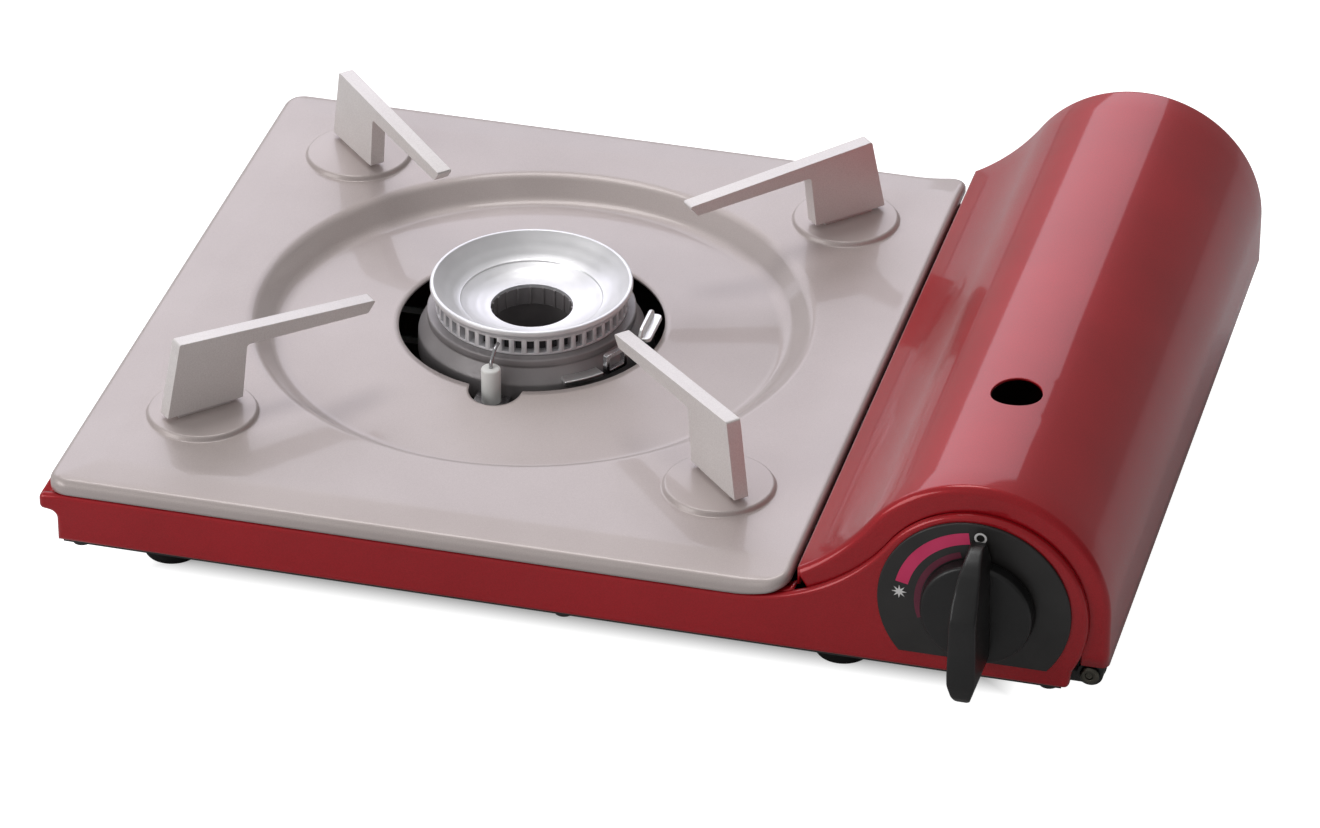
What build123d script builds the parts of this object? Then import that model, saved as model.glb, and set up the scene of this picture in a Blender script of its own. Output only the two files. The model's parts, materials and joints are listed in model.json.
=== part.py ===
from build123d import *
from math import atan2, cos, pi, radians, sin, sqrt
import os

# A slim cassette stove. Millimetres, +Z up, +X towards the cartridge bay, -Y towards the user.
# Inside this file X and Y are measured from the burner's axis and Z from the table.
# save() moves each piece so that the row's origin is the middle of the footprint, on the table.
burner_x = -46.3
burner_y = 17.6

# Overall shell
front = -130.1           # outer face of the front panel and of the pan's front skirt
back = 119.9
left = -115.0
body_right = 201.0
sheet = 0.9
pan_sheet = 0.8
pan_top = 42.5           # flat top of the drip pan
rim_z = 36.2             # top of the body's rim, just under the pan's skirt
panel_foot = 19.6        # lower edge of the body shell
floor_z = 8.6            # underside of the bottom pan
flange_w = 11.0

# Drip pan
pan_left = -118.3
pan_right = 115.7
pan_corner = 7.0
skirt_depth = 5.9
curl_start = 97.6        # the pan's right margin lifts from here on
curl_rise = 2.4
skirt_rise = 3.9         # lift of the skirt's lower edge over the same stretch
basin_r = 89.6
basin_floor_r = 81.2
basin_depth = 7.2
throat_depth = 2.6       # the basin's floor is this far below the top at the burner hole
throat_r = 42.4
lobe_r = 8.4             # notch of the burner hole that clears the electrode
boss_at = 82.7
boss_r = 17.7
boss_rise = 1.6

# Pot supports: heights above the pan's top
support_t = 5.0
leg_out = 130.2
leg_in = 104.1
leg_foot = 2.9
crest_r = 125.0
crest_h = 28.0
tip_r = 56.6
tip_h = 23.6
arm_h = 5.3
tab_w = 6.0
tab_t = 3.0

# Cartridge cover: a crest arc that runs into a hollow arc on its left
cover_front = -127.7
cover_back = 119.5
cover_left = 118.0
cover_foot = 27.5
crest_x = 172.8
crest_z = 43.5
crest = 40.5
hollow = 68.0
join_deg = 145.3         # where the crest arc meets the hollow arc
rim_w = 8.6              # depth of the cover's end rims
sight_hole_r = 7.9
sight_hole_y = -71.5

# Front panel's own arch, inside the cover's rim
panel_crest_x = 173.6
panel_crest_z = 42.5
panel_crest = 33.6
panel_hollow = 58.8
panel_left = 97.6

# Control
knob_x = 174.3
knob_z = 45.0
knob_turn_deg = 95.0
plate_r = 29.4
plate_foot = 25.6
spindle_r = 3.0
run_gap = 0.06           # running clearance of a shaft in its hole
cam_r = 7.0
cam_rise = 4.0
cam_y0 = -124.0
cam_y1 = -118.0
plunger_r = 2.0

# Cartridge and its valve gear
can_r = 33.5
can_x = 173.0
can_z = 45.5
inlet_y = -84.0
air_hole_r = 3.5         # holes in the bay's rear wall

# Hinge
hinge_x = 207.1
hinge_z = 21.9
hinge_pin_r = 2.0
hinge_ys = (-123.4, 97.0)

# Burner
head_r = 32.2
head_top = 55.0
skirt_r = 30.5
skirt_in = 27.6
seat_z = 45.6            # the head rests on the base here
slot_count = 48
slot_w = 2.0
slot_z0 = 46.5
slot_z1 = 51.0
air_r = 13.1
base_floor = 16.4        # underside of the base
base_r = 36.4            # the base's widest radius, below its flange
electrode_x = -2.0
electrode_y = -40.0
tube_deg = -30.0         # direction of the mixing tube from the burner's axis
tube_z = 24.8


def save(name, shape):
    shape = Compound(children=shape) if isinstance(shape, list) else shape
    export_step(Pos(burner_x, burner_y, 0) * shape, f"parts/{name}.step")


def box(x0, x1, y0, y1, z0, z1):
    return Pos((x0 + x1) / 2, (y0 + y1) / 2, (z0 + z1) / 2) * Box(x1 - x0, y1 - y0, z1 - z0)


def rod_x(y, z, r, x0, x1):
    return Pos((x0 + x1) / 2, y, z) * Rot(0, 90, 0) * Cylinder(r, x1 - x0)


def rod_y(x, z, r, y0, y1):
    return Pos(x, (y0 + y1) / 2, z) * Rot(90, 0, 0) * Cylinder(r, y1 - y0)


def rod_z(x, y, r, z0, z1):
    return Pos(x, y, (z0 + z1) / 2) * Cylinder(r, z1 - z0)


def slab_y(face, y0, y1):
    """A face drawn in X and Z, made solid between two Y planes."""
    plane = Plane(origin=(0, y1, 0), x_dir=(1, 0, 0), z_dir=(0, -1, 0))
    return extrude(plane * face, amount=y1 - y0)


def turned(*profile):
    """A solid of revolution about the burner's axis from (radius, height) corners."""
    return revolve(Plane.XZ * make_face(Polyline(*profile, close=True)), Axis.Z)


def tube(points, bends, r):
    path = FilletPolyline(*points, radius=bends)
    return sweep(Plane(path @ 0, z_dir=path % 0) * Circle(r), path=path)


def arched(cx, cz, r, r_hollow, x_left, z_foot, end_deg=0.0, x_foot=None):
    """A face under an S-shaped top edge: a hollow arc that runs tangent into a crest arc."""
    join = radians(join_deg)
    end = radians(end_deg)
    hx = cx + (r + r_hollow) * cos(join)
    hz = cz + (r + r_hollow) * sin(join)
    start = (x_left, hz - sqrt(r_hollow**2 - (x_left - hx) ** 2))
    meet = (cx + r * cos(join), cz + r * sin(join))
    top = (cx + r * cos((join + end) / 2), cz + r * sin((join + end) / 2))
    stop = (cx + r * cos(end), cz + r * sin(end))
    low = atan2(start[1] - hz, start[0] - hx)
    mid = (low + join - pi) / 2
    sag = (hx + r_hollow * cos(mid), hz + r_hollow * sin(mid))
    foot = (stop[0] if x_foot is None else x_foot, z_foot)
    edges = [
        ThreePointArc(start, sag, meet),
        ThreePointArc(meet, top, stop),
        Line(stop, foot),
        Line(foot, (x_left, z_foot)),
        Line((x_left, z_foot), start),
    ]
    return make_face(edges)


def cover_face(inset, x_left, z_foot):
    return arched(crest_x, crest_z, crest - inset, hollow + inset, x_left, z_foot)


def panel_face(grow=0.0):
    return arched(panel_crest_x, panel_crest_z, panel_crest + grow, panel_hollow - grow,
                  panel_left, panel_foot, end_deg=-30.0, x_foot=body_right - 0.1)


# ---------------------------------------------------------------- body
def body_shell():
    """Painted steel: front panel with its arch, side and rear walls, rim and inturned flange."""
    walls = box(left, body_right, front, back, panel_foot, rim_z)
    walls = fillet(walls.edges().filter_by(Axis.Z).group_by(Axis.X)[0], 3.0)
    walls -= box(left + sheet, body_right - sheet, front + sheet, back - sheet,
                 panel_foot + sheet, rim_z - sheet)
    walls -= box(left + flange_w, body_right - flange_w, front + flange_w, back - flange_w,
                 panel_foot - 1, panel_foot + 2)
    rim_in = 5.0
    walls -= box(left + rim_in, body_right + 1, front + rim_in, back - rim_in, rim_z - 2, rim_z + 1)
    walls -= box(panel_left, body_right + 1, front + sheet, back - sheet, rim_z - 2, rim_z + 1)
    walls -= box(body_right - 2, body_right + 1, front + sheet, back + 1, 25.5, rim_z + 1)
    walls -= box(panel_left, body_right + 1, back - 2, back + 1, 33.0, rim_z + 1)
    panel = slab_y(panel_face(), front, front + sheet)
    lip = box(left - 5.6, left + 0.5, front + 1.2, back - 1.2, 30.4, 35.4)
    lip = fillet(lip.edges().filter_by(Axis.Y).group_by(Axis.X)[0], 2.3)
    shell = walls + panel + lip
    shell -= rod_y(knob_x, knob_z, 5.0, front - 1, front + 2)
    for x, z in standoff_points():
        shell -= rod_y(x, z, 1.6, front - 1, front + 2)
    for x, y in case_screw_points():
        shell -= rod_z(x, y, 1.6, panel_foot - 1, panel_foot + 2)
    return shell


def case_screw_points():
    xs = (left + 6, 45.0, body_right - 6)
    return [(x, y) for x in xs for y in (front + 6, back - 6)]


def standoff_points():
    angles = (35, 149, 270)
    return [(knob_x + 20 * cos(radians(a)), knob_z + 20 * sin(radians(a))) for a in angles]


def rear_panel():
    """Arched end wall of the cartridge bay, just inside the cover's rear rim, with air holes."""
    face = arched(crest_x, crest_z, crest - 3.0, hollow + 3.0, 128.0, 33.4)
    y1 = cover_back - 2.6
    plate = slab_y(face, y1 - sheet, y1)
    foot = box(134, 196, y1 - sheet, back - sheet, 32.4, 33.4)
    panel = plate + foot - box(200, 220, y1 - 3, y1 + 3, 0, 36)
    for x, z in air_hole_points():
        panel -= rod_y(x, z, air_hole_r, y1 - 3, y1 + 3)
    return panel


def air_hole_points():
    """One hole in line with the cartridge inlet and four in an arc above it."""
    ring = [(knob_x + 13 * cos(radians(a)), knob_z + 13 * sin(radians(a))) for a in range(0, 181, 60)]
    return [(knob_x, knob_z)] + ring


def tray(x0, x1, y0, y1, z, corner):
    plane = Plane(origin=((x0 + x1) / 2, (y0 + y1) / 2, z))
    return plane * RectangleRounded(x1 - x0, y1 - y0, corner)


def bottom_pan():
    """Lower tray that closes the body, with sloping walls and air slots."""
    top = panel_foot
    x0, x1, y0, y1 = left + flange_w - 2, body_right - 1.6, front + flange_w - 2, back - flange_w + 2
    dip = 9.0
    lx0, lx1, ly0, ly1 = x0 + dip, x1 - dip, y0 + dip, y1 - dip
    outer = loft([tray(lx0, lx1, ly0, ly1, floor_z, 10), tray(x0, x1, y0, y1, top, 10)])
    t = sheet
    inner = loft([tray(lx0 + t, lx1 - t, ly0 + t, ly1 - t, floor_z + t, 9.5),
                  tray(x0 + t, x1 - t, y0 + t, y1 - t, top, 9.5)])
    pan = outer - inner
    pan += box(left + 1.5, body_right - 1.5, front + 1.5, back - 1.5, top - sheet, top) - box(
        x0 + t, x1 - t, y0 + t, y1 - t, top - 2, top + 1)
    for x, y in case_screw_points():
        pan -= rod_z(x, y, 1.7, top - 2, top + 1)
    for row in range(6):
        for x in (-62.0, 45.0):
            y = -45 + row * 18
            pan -= box(x - 22, x + 22, y - 2.5, y + 2.5, floor_z - 1, floor_z + 2)
    for row in range(3):
        y = -28 + row * 40
        pan -= Pos(can_x, y, floor_z) * extrude(SlotOverall(26, 6), amount=3, both=True)
    for x, y in foot_points():
        pan -= rod_z(x, y, 3.0, floor_z - 1, floor_z + 2)
    return pan


def foot_points():
    return [(x, y) for x in (-89.0, 126.0) for y in (-98.0, 88.0)]


def foot(x, y):
    """Rubber foot with a stem that snaps through the bottom pan."""
    pad = rod_z(x, y, 9.0, 0, floor_z)
    pad = fillet(pad.edges().group_by(Axis.Z)[0], 1.6)
    return pad + rod_z(x, y, 2.9, floor_z, floor_z + 1.2) + rod_z(x, y, 3.8, floor_z + 1.0, floor_z + 2.8)


def heat_shield():
    """Upright plate between the burner chamber and the cartridge bay."""
    x = 136.8
    plate = box(x, x + sheet, -107, 100, floor_z + sheet, 46.0)
    plate += box(x, x + sheet, 100, 114, panel_foot + 2 * sheet, 46.0)
    deck = box(119.4, x + sheet, -107, 114, 38.0, 38.9)
    foot = box(x - 5, x + sheet, -104, 98, floor_z + sheet, floor_z + 2 * sheet)
    shield = plate + deck + foot
    shield -= box(x - 1, x + 2, -106, -96, 31, 39.5)
    shield -= box(x - 1, x + 2, -11, 11, 16, 22)
    for step in range(5):
        y = -70 + step * 38
        if abs(y) > 20:
            shield -= box(x - 1, x + 2, y - 10, y + 10, 26, 31)
    return shield


def case_screws():
    """Pan-head screws that hold the bottom pan to the shell's flange."""
    top = panel_foot
    return [rod_z(x, y, 3.0, top - sheet - 1.8, top - sheet) + rod_z(x, y, 1.5, top - sheet, top + 4)
            for x, y in case_screw_points()]


# ---------------------------------------------------------------- control and gas train
def control_plate():
    """Flat-footed round dial plate on the front panel."""
    disc = rod_y(crest_x, 44.5, plate_r, front - 1.0, front)
    disc -= box(crest_x - 40, crest_x + 40, front - 3, front + 3, 0, plate_foot)
    return disc - rod_y(knob_x, knob_z, 5.0, front - 3, front + 3)


def governor_standoffs():
    return [rod_y(x, z, 3.2, front + sheet, -114.2) for x, z in standoff_points()]


def governor_bracket():
    plate = rod_y(knob_x, knob_z, 25.5, -114.2, -113.0)
    return plate - rod_y(knob_x, knob_z, 6.0, -116, -111)


def governor_body():
    """Die-cast pressure governor and cock: the spindle enters its front, the cartridge its back."""
    body = rod_y(knob_x, knob_z, 19.0, -113.0, -93.0)
    body += rod_y(knob_x, knob_z, 11.0, -93.0, -91.0)
    body += box(149, 165, -108, -95, 30.5, 40.5)
    body -= rod_y(knob_x, knob_z, spindle_r + run_gap, -114, -104)
    body -= rod_x(-101.5, 35.5, 2.1, 148, 154)
    return body


def governor_cap():
    """Pressed cover over the governor's diaphragm, on its right side."""
    cap = rod_x(-103.0, knob_z, 8.5, 193.0, 199.0)
    return fillet(cap.edges().group_by(Axis.X)[-1], 1.5) - rod_y(knob_x, knob_z, 19.0, -114, -92)


def governor_screws():
    screws = []
    for a in (60, 180, 300):
        x = knob_x + 15 * cos(radians(a))
        z = knob_z + 15 * sin(radians(a))
        screws.append(rod_y(x, z, 2.6, -93.0, -91.0))
    return screws


def magnet_plate():
    plate = rod_y(knob_x, knob_z, 27.0, -91.0, -89.6)
    return plate - rod_y(knob_x, knob_z, 5.0, -92, -88)


def magnets():
    """Two ring segments that hold the cartridge's collar."""
    ring = rod_y(knob_x, knob_z, 25.0, -89.6, -85.6) - rod_y(knob_x, knob_z, 17.5, -91, -84)
    gap_x = box(knob_x - 6, knob_x + 6, -92, -84, 0, 90)
    return ring - gap_x


def inlet_nozzle():
    """Brass inlet that opens the cartridge's valve; the bore takes the valve's stem."""
    nozzle = rod_y(knob_x, knob_z, 4.9, -91.0, -86.0) + rod_y(knob_x, knob_z, 3.4, -86.0, inlet_y)
    return nozzle - rod_y(knob_x, knob_z, 2.1, inlet_y - 5, inlet_y + 1)


def inlet_seal():
    ring = rod_y(knob_x, knob_z, 6.6, -89.6, -87.4)
    return ring - rod_y(knob_x, knob_z, 5.0, -91, -84)


def cartridge_locator():
    """Steel tongue that fits the notch in a cartridge's collar."""
    plate_y = -89.6
    tongue = box(knob_x - 3.5, knob_x + 3.5, plate_y, -78.0, knob_z + 25.4, knob_z + 26.6)
    return tongue + box(knob_x - 3.5, knob_x + 3.5, plate_y, plate_y + 1.2, knob_z + 19, knob_z + 26.6)


def cartridge_rests():
    """Two low saddles on the bottom pan that carry the cartridge."""
    rests = []
    for y in (-50.0, 62.0):
        block = box(154, 192, y - 2, y + 2, floor_z + sheet, 15.0)
        block -= box(188.5, 193, y - 3, y + 3, 0, 30)
        rests.append(block - rod_y(can_x, can_z, can_r + 0.1, y - 3, y + 3))
    return rests


def knob():
    """Round skirt with a tapered grip bar across it."""
    y_back = front - 1.6
    base = rod_y(knob_x, knob_z, 17.3, y_back - 4.4, y_back)
    base = fillet(base.edges().group_by(Axis.Y)[0], 1.2)
    half = [(2.9, 22.5), (4.4, 14), (4.8, -12), (2.6, -20.2), (2.2, -20.8)]
    outline = [(0, 24.5)] + half + [(-x, z) for x, z in half[::-1]]
    bar = slab_y(make_face(Polyline(*[(knob_x + x, knob_z + z) for x, z in outline], close=True)),
                 front - 25.0, y_back)
    side = [(y_back + 1, 26), (y_back - 6, 26), (front - 18, 19), (front - 25, 8), (front - 25, -15),
            (front - 21, -21), (y_back - 3, -22), (y_back - 3, -16), (y_back + 1, -16)]
    profile = make_face(Polyline(*[(y, knob_z + z) for y, z in side], close=True))
    bar &= Pos(knob_x - 10, 0, 0) * extrude(Plane.YZ * profile, amount=20)
    bar = chamfer(bar.edges().group_by(Axis.Y)[0], 0.8)
    return base + bar - rod_y(knob_x, knob_z, spindle_r, front - 12, y_back + 1)


def knob_spindle():
    return rod_y(knob_x, knob_z, spindle_r, front - 12, -105.0)


def ignition_cam():
    """Spiral cam: its radius grows evenly over the knob's turn and then drops back."""
    steps = 10
    spiral = []
    for i in range(steps + 1):
        a = radians(180 - knob_turn_deg * i / steps)
        r = cam_r + cam_rise * i / steps
        spiral.append((knob_x + r * cos(a), knob_z + r * sin(a)))
    low = (knob_x, knob_z - cam_r)
    drop = (knob_x + cam_r * cos(radians(75)), knob_z + cam_r * sin(radians(75)))
    edges = [
        Spline(*spiral),
        Line(spiral[-1], drop),
        ThreePointArc(drop, (knob_x + cam_r * cos(radians(-30)), knob_z + cam_r * sin(radians(-30))), low),
        ThreePointArc(low, (knob_x + cam_r * cos(radians(225)), knob_z + cam_r * sin(radians(225))),
                      spiral[0]),
    ]
    cam = slab_y(make_face(edges), cam_y0, cam_y1)
    return cam - rod_y(knob_x, knob_z, spindle_r, cam_y0 - 1, cam_y1 + 1)


def piezo_plunger():
    """Round-ended push rod that the cam drives into the igniter."""
    y = (cam_y0 + cam_y1) / 2
    end = knob_x - cam_r - 0.3 - plunger_r
    return rod_x(y, knob_z, plunger_r, 147.5, end) + Pos(end, y, knob_z) * Sphere(plunger_r)


def piezo_igniter():
    y = (cam_y0 + cam_y1) / 2
    body = box(134.5, 156.0, y - 5, y + 5, knob_z - 5, knob_z + 5)
    body = chamfer(body.edges().filter_by(Axis.X), 1.0)
    return body - rod_x(y, knob_z, plunger_r + run_gap, 142.0, 157.0)


def igniter_bracket():
    """Angle that hangs the igniter from the governor's plate."""
    y = (cam_y0 + cam_y1) / 2
    shelf = box(137, 160, y - 4, -114.2, knob_z - 6.2, knob_z - 5)
    return shelf + box(150, 160, -115.4, -114.2, knob_z - 5, knob_z + 5)


def ignition_lead():
    """Insulated wire from the igniter, round the front wall, to the electrode."""
    y = (cam_y0 + cam_y1) / 2
    x = electrode_x
    return [(134.5, y, 43), (126.5, y, 43), (121, y + 1, 33), (112, -116, 22), (95, -107, 14.5),
            (64, -103, 13), (34, -98, 13), (12, -82, 13), (1, -66, 12.6), (x, -53, 12.4), (x, -45.6, 14.6),
            (x, electrode_y - 1.7, 18.6), (x, electrode_y, 23.6)]


def lead_bends(points):
    bends = []
    for before, here, after in zip(points, points[1:], points[2:]):
        a = Vector(*here) - Vector(*before)
        b = Vector(*after) - Vector(*here)
        half = radians(a.get_angle(b)) / 2
        bends.append(0.45 * min(a.length, b.length) * cos(half) / sin(half))
    return bends


def along_tube(distance, z=tube_z):
    a = radians(tube_deg)
    return (distance * cos(a), distance * sin(a), z)


def axis_solid(shape, distance):
    """Moves a solid drawn along its own Z so that it lies along the mixing tube."""
    return Pos(*along_tube(distance)) * Rot(0, 0, tube_deg) * Rot(0, 90, 0) * shape


def mixing_tube():
    """Venturi tube with a flared mouth and two air windows."""
    def ring(r_out, length, at):
        return axis_solid(Cylinder(r_out, length), at)
    pipe = ring(6.6, 46, 33.2 + 23)
    mouth = axis_solid(Cone(6.6, 8.6, 16), 87.2)
    solid = pipe + mouth
    solid -= ring(5.6, 60, 50)
    solid -= axis_solid(Cone(5.4, 7.7, 17), 87.2)
    solid -= Pos(*along_tube(88)) * Rot(0, 0, tube_deg) * Box(7, 30, 7)
    return solid


def jet_bracket():
    """Upright steel plate that holds the jet in line with the mixing tube."""
    plate = Pos(*along_tube(98, 20.1)) * Rot(0, 0, tube_deg) * Box(1.6, 22, 21.2)
    base = Pos(*along_tube(103.7, 10.0)) * Rot(0, 0, tube_deg) * Box(9.8, 22, 1.0)
    return plate + base - axis_solid(Cylinder(3.1, 6), 98)


def jet():
    nose = axis_solid(Cylinder(3.0, 9), 96.5)
    hexagon = axis_solid(extrude(RegularPolygon(4.6, 6), amount=3, both=True), 104.0)
    return nose + hexagon - axis_solid(Cylinder(0.5, 30), 96.5) - axis_solid(Cylinder(2.05, 6), 107)


def gas_pipe():
    return [along_tube(104.5), along_tube(118), (118, -76, 24), (124, -94, 30), (136, -101.5, 35.5),
            (153.5, -101.5, 35.5)]


# ---------------------------------------------------------------- burner
def burner_base():
    """Cast aluminium trough that feeds gas to the head, with a hollow centre for air."""
    low = base_floor
    bowl = turned((15.8, low), (28.0, low), (31.0, low + 2.6), (base_r, 31.0), (base_r - 0.2, 38.0),
                  (32.8, 43.0), (33.2, 43.6), (33.2, seat_z), (27.6, seat_z), (25.4, low + 3.6),
                  (23.5, low + 2.0), (18.0, low + 2.0), (18.0, 43.0), (15.8, 43.0))
    socket = axis_solid(Cylinder(8.6, 18), 32.0)
    socket -= rod_z(0, 0, 25.6, 0, 34)
    ledge = Rot(0, 0, -48) * box(base_r - 2.5, base_r + 2.7, -6.5, 6.5, 38.6, 40.2)
    base = bowl + socket + (ledge - rod_z(0, 0, 33.0, 30, 50))
    base -= axis_solid(Cylinder(6.7, 18), 34.2)
    base -= axis_solid(Cylinder(5.6, 14), 24.0)
    base -= rod_z(electrode_x, electrode_y, 4.5, low - 1, seat_z + 1)
    return base


def burner_head():
    """Slotted ring with a hollow top; gas leaves through the slots, air rises in the middle."""
    bowl_mid = (22.4, 48.3)
    edges = [
        Line((air_r, 38.5), (air_r, seat_z)),
        ThreePointArc((air_r, seat_z), bowl_mid, (30.7, 54.6)),
        Line((30.7, 54.6), (31.2, head_top)),
        Line((31.2, head_top), (head_r, head_top)),
        Line((head_r, head_top), (head_r, 53.4)),
        Line((head_r, 53.4), (skirt_r, 51.6)),
        Line((skirt_r, 51.6), (skirt_r, seat_z)),
        Line((skirt_r, seat_z), (skirt_in, seat_z)),
        Line((skirt_in, seat_z), (skirt_in, 49.8)),
        ThreePointArc((skirt_in, 49.8), (21.6, 46.0), (15.5, 43.6)),
        Line((15.5, 43.6), (15.5, 38.5)),
        Line((15.5, 38.5), (air_r, 38.5)),
    ]
    head = revolve(Plane.XZ * make_face(edges), Axis.Z)
    slots = [Rot(0, 0, i * 360 / slot_count) * box(skirt_in - 2, skirt_r + 2, -slot_w / 2, slot_w / 2,
                                                   slot_z0, slot_z1) for i in range(slot_count)]
    return head - slots


def burner_posts():
    posts = []
    for a in (75, 195, 300):
        x, y = 21 * cos(radians(a)), 21 * sin(radians(a))
        posts.append(rod_z(x, y, 3.4, floor_z + sheet, base_floor - 0.05))
    return posts


def electrode_insulator():
    body = rod_z(electrode_x, electrode_y, 3.1, 24.0, 46.0)
    body += rod_z(electrode_x, electrode_y, 4.2, 29.0, 33.0)
    body = chamfer(body.edges().group_by(Axis.Z)[-1], 0.6)
    return body - rod_z(electrode_x, electrode_y, 0.75, 20, 48)


def electrode_wire():
    """Bare spark wire from the insulator's top to just outside the slots."""
    x, y = electrode_x, electrode_y
    return tube([(x, y, 24.6), (x, y, 47.8), (x + 0.3, y + 4.0, 50.6), (x + 0.4, y + 6.9, 50.9)],
                [3.0, 3.0], 0.6)


def electrode_clip():
    """Spring clip that holds the insulator to the base."""
    x, y = electrode_x, electrode_y
    clip = box(x - 5.5, x + 5.5, y - 4.6, y + 10.6, 33.1, 34.1)
    return clip - rod_z(x, y, 3.15, 32, 36) - rod_z(0, 0, base_r, 30, 40)


def heat_panel():
    """Aluminium strip that carries warmth from the flame to the cartridge."""
    x0 = base_r + 0.5
    strip = box(x0, 151.0, -8, 8, 18.4, 19.8)
    riser = box(x0, x0 + 1.4, -8, 8, 18.4, 46.5)
    hook = box(x0, 41.0, -8, 8, 42.6, 44.0)
    saddle_out = rod_y(can_x, can_z, can_r + 2.0, -8, 8)
    saddle = saddle_out & box(146.0, 176.0, -10, 10, 9.7, 19.8)
    return strip + riser + hook + saddle - rod_y(can_x, can_z, can_r + 0.6, -10, 10)


def heat_clip():
    """Square spring clip on the edge of the burner's base."""
    a = radians(-30)
    clip = Box(2.0, 9.0, 7.0) - Pos(0.6, 0, 0) * Box(1.6, 6.5, 4.5)
    r = base_r + 1.0
    return Pos(r * cos(a), r * sin(a), 41.6) * Rot(0, 0, -30) * clip


# ---------------------------------------------------------------- hinge, cover, catch
def hinge_bracket(y):
    """Steel bracket on the body's right wall; its ear carries the pin."""
    ear = rod_y(hinge_x, hinge_z, 4.0, y + 3.2, y + 5.6)
    arm = box(body_right, hinge_x, y + 3.2, y + 5.6, hinge_z - 2.0, hinge_z + 2.9)
    leaf = box(body_right, body_right + 1.2, y + 3.2, y + 17, hinge_z - 2.0, hinge_z + 3.5)
    return ear + arm + leaf - rod_y(hinge_x, hinge_z, hinge_pin_r, y, y + 8)


def hinge_pin(y):
    pin = rod_y(hinge_x, hinge_z, hinge_pin_r, y - 0.6, y + 6.8)
    return pin + rod_y(hinge_x, hinge_z, 3.0, y - 1.6, y - 0.6)


def cover_lug(y):
    """Black lug riveted inside the cover's wall, turning on the pin."""
    ear = rod_y(hinge_x, hinge_z, 4.0, y, y + 2.6)
    wall = crest_x + crest - sheet
    arm = Polyline((hinge_x - 2.4, hinge_z), (hinge_x + 3.2, hinge_z - 2.4), (wall, hinge_z + 7.0),
                   (wall, hinge_z + 16.0), (wall - 2.4, hinge_z + 16.0), (wall - 2.4, hinge_z + 9.0),
                   (hinge_x - 2.4, hinge_z + 3.0), close=True)
    leaf = box(wall - 1.2, wall, y, y + 15, hinge_z + 7.0, hinge_z + 16.0)
    lug = ear + slab_y(make_face(arm), y, y + 2.6) + leaf
    return lug - rod_y(hinge_x, hinge_z, hinge_pin_r + run_gap, y - 1, y + 4)


def cartridge_cover():
    """Arched lid of thin painted steel with turned-in rims at both ends."""
    outer = cover_face(0, cover_left, cover_foot)
    skin = outer - cover_face(sheet, cover_left - 9, cover_foot - 9)
    rim = outer - cover_face(rim_w, cover_left - 9, cover_foot - 9)
    cover = slab_y(skin, cover_front, cover_back)
    for y0 in (cover_front, cover_back - sheet):
        cover += slab_y(rim, y0, y0 + sheet)
    hem = box(cover_left, cover_left + sheet, cover_front, cover_back, 40.6, 47.0)
    cover += hem & slab_y(outer, cover_front, cover_back)
    return cover - rod_z(crest_x - 1.0, sight_hole_y, sight_hole_r, 70, 90)


def hinge_rivets():
    """Domed rivets that fix each lug to the cover's wall."""
    wall = crest_x + crest - sheet
    return [rod_x(y + 9.0, hinge_z + 11.5, 2.0, wall - 2.0, wall - 1.2) for y in hinge_ys]


def cover_catch():
    """Tongue under the cover's left margin that snaps into the catch spring."""
    top = box(119.4, 127.0, -6, 6, 44.6, 45.6)
    return top + box(119.4, 120.4, -6, 6, 40.4, 45.6)


def catch_spring():
    """Spring steel clip on the heat shield's deck."""
    base = box(122.0, 132.0, -5, 5, 38.9, 39.5)
    return base + box(121.4, 122.0, -5, 5, 38.9, 43.4)


# ---------------------------------------------------------------- drip pan
def lifted_edge(drop):
    """Line at some depth under the pan's top, with the margin by the cover curling up."""
    run = pan_right - curl_start
    rise = curl_rise + (skirt_rise - curl_rise) * drop / skirt_depth
    r = (run**2 + rise**2) / (2 * rise)
    z = pan_top - drop
    mid = curl_start + run / 2
    return [(curl_start, z), (mid, z + r - sqrt(r**2 - (run / 2) ** 2)), (pan_right, z + rise)]


def margin_face(x0, top_drop, foot_drop):
    start, mid, end = lifted_edge(top_drop)
    low_start, low_mid, low_end = lifted_edge(foot_drop)
    edges = [
        Line((x0, start[1]), start),
        ThreePointArc(start, mid, end),
        Line(end, low_end),
        ThreePointArc(low_end, low_mid, low_start),
        Line(low_start, (x0, low_start[1])),
        Line((x0, low_start[1]), (x0, start[1])),
    ]
    return make_face(edges)


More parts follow.
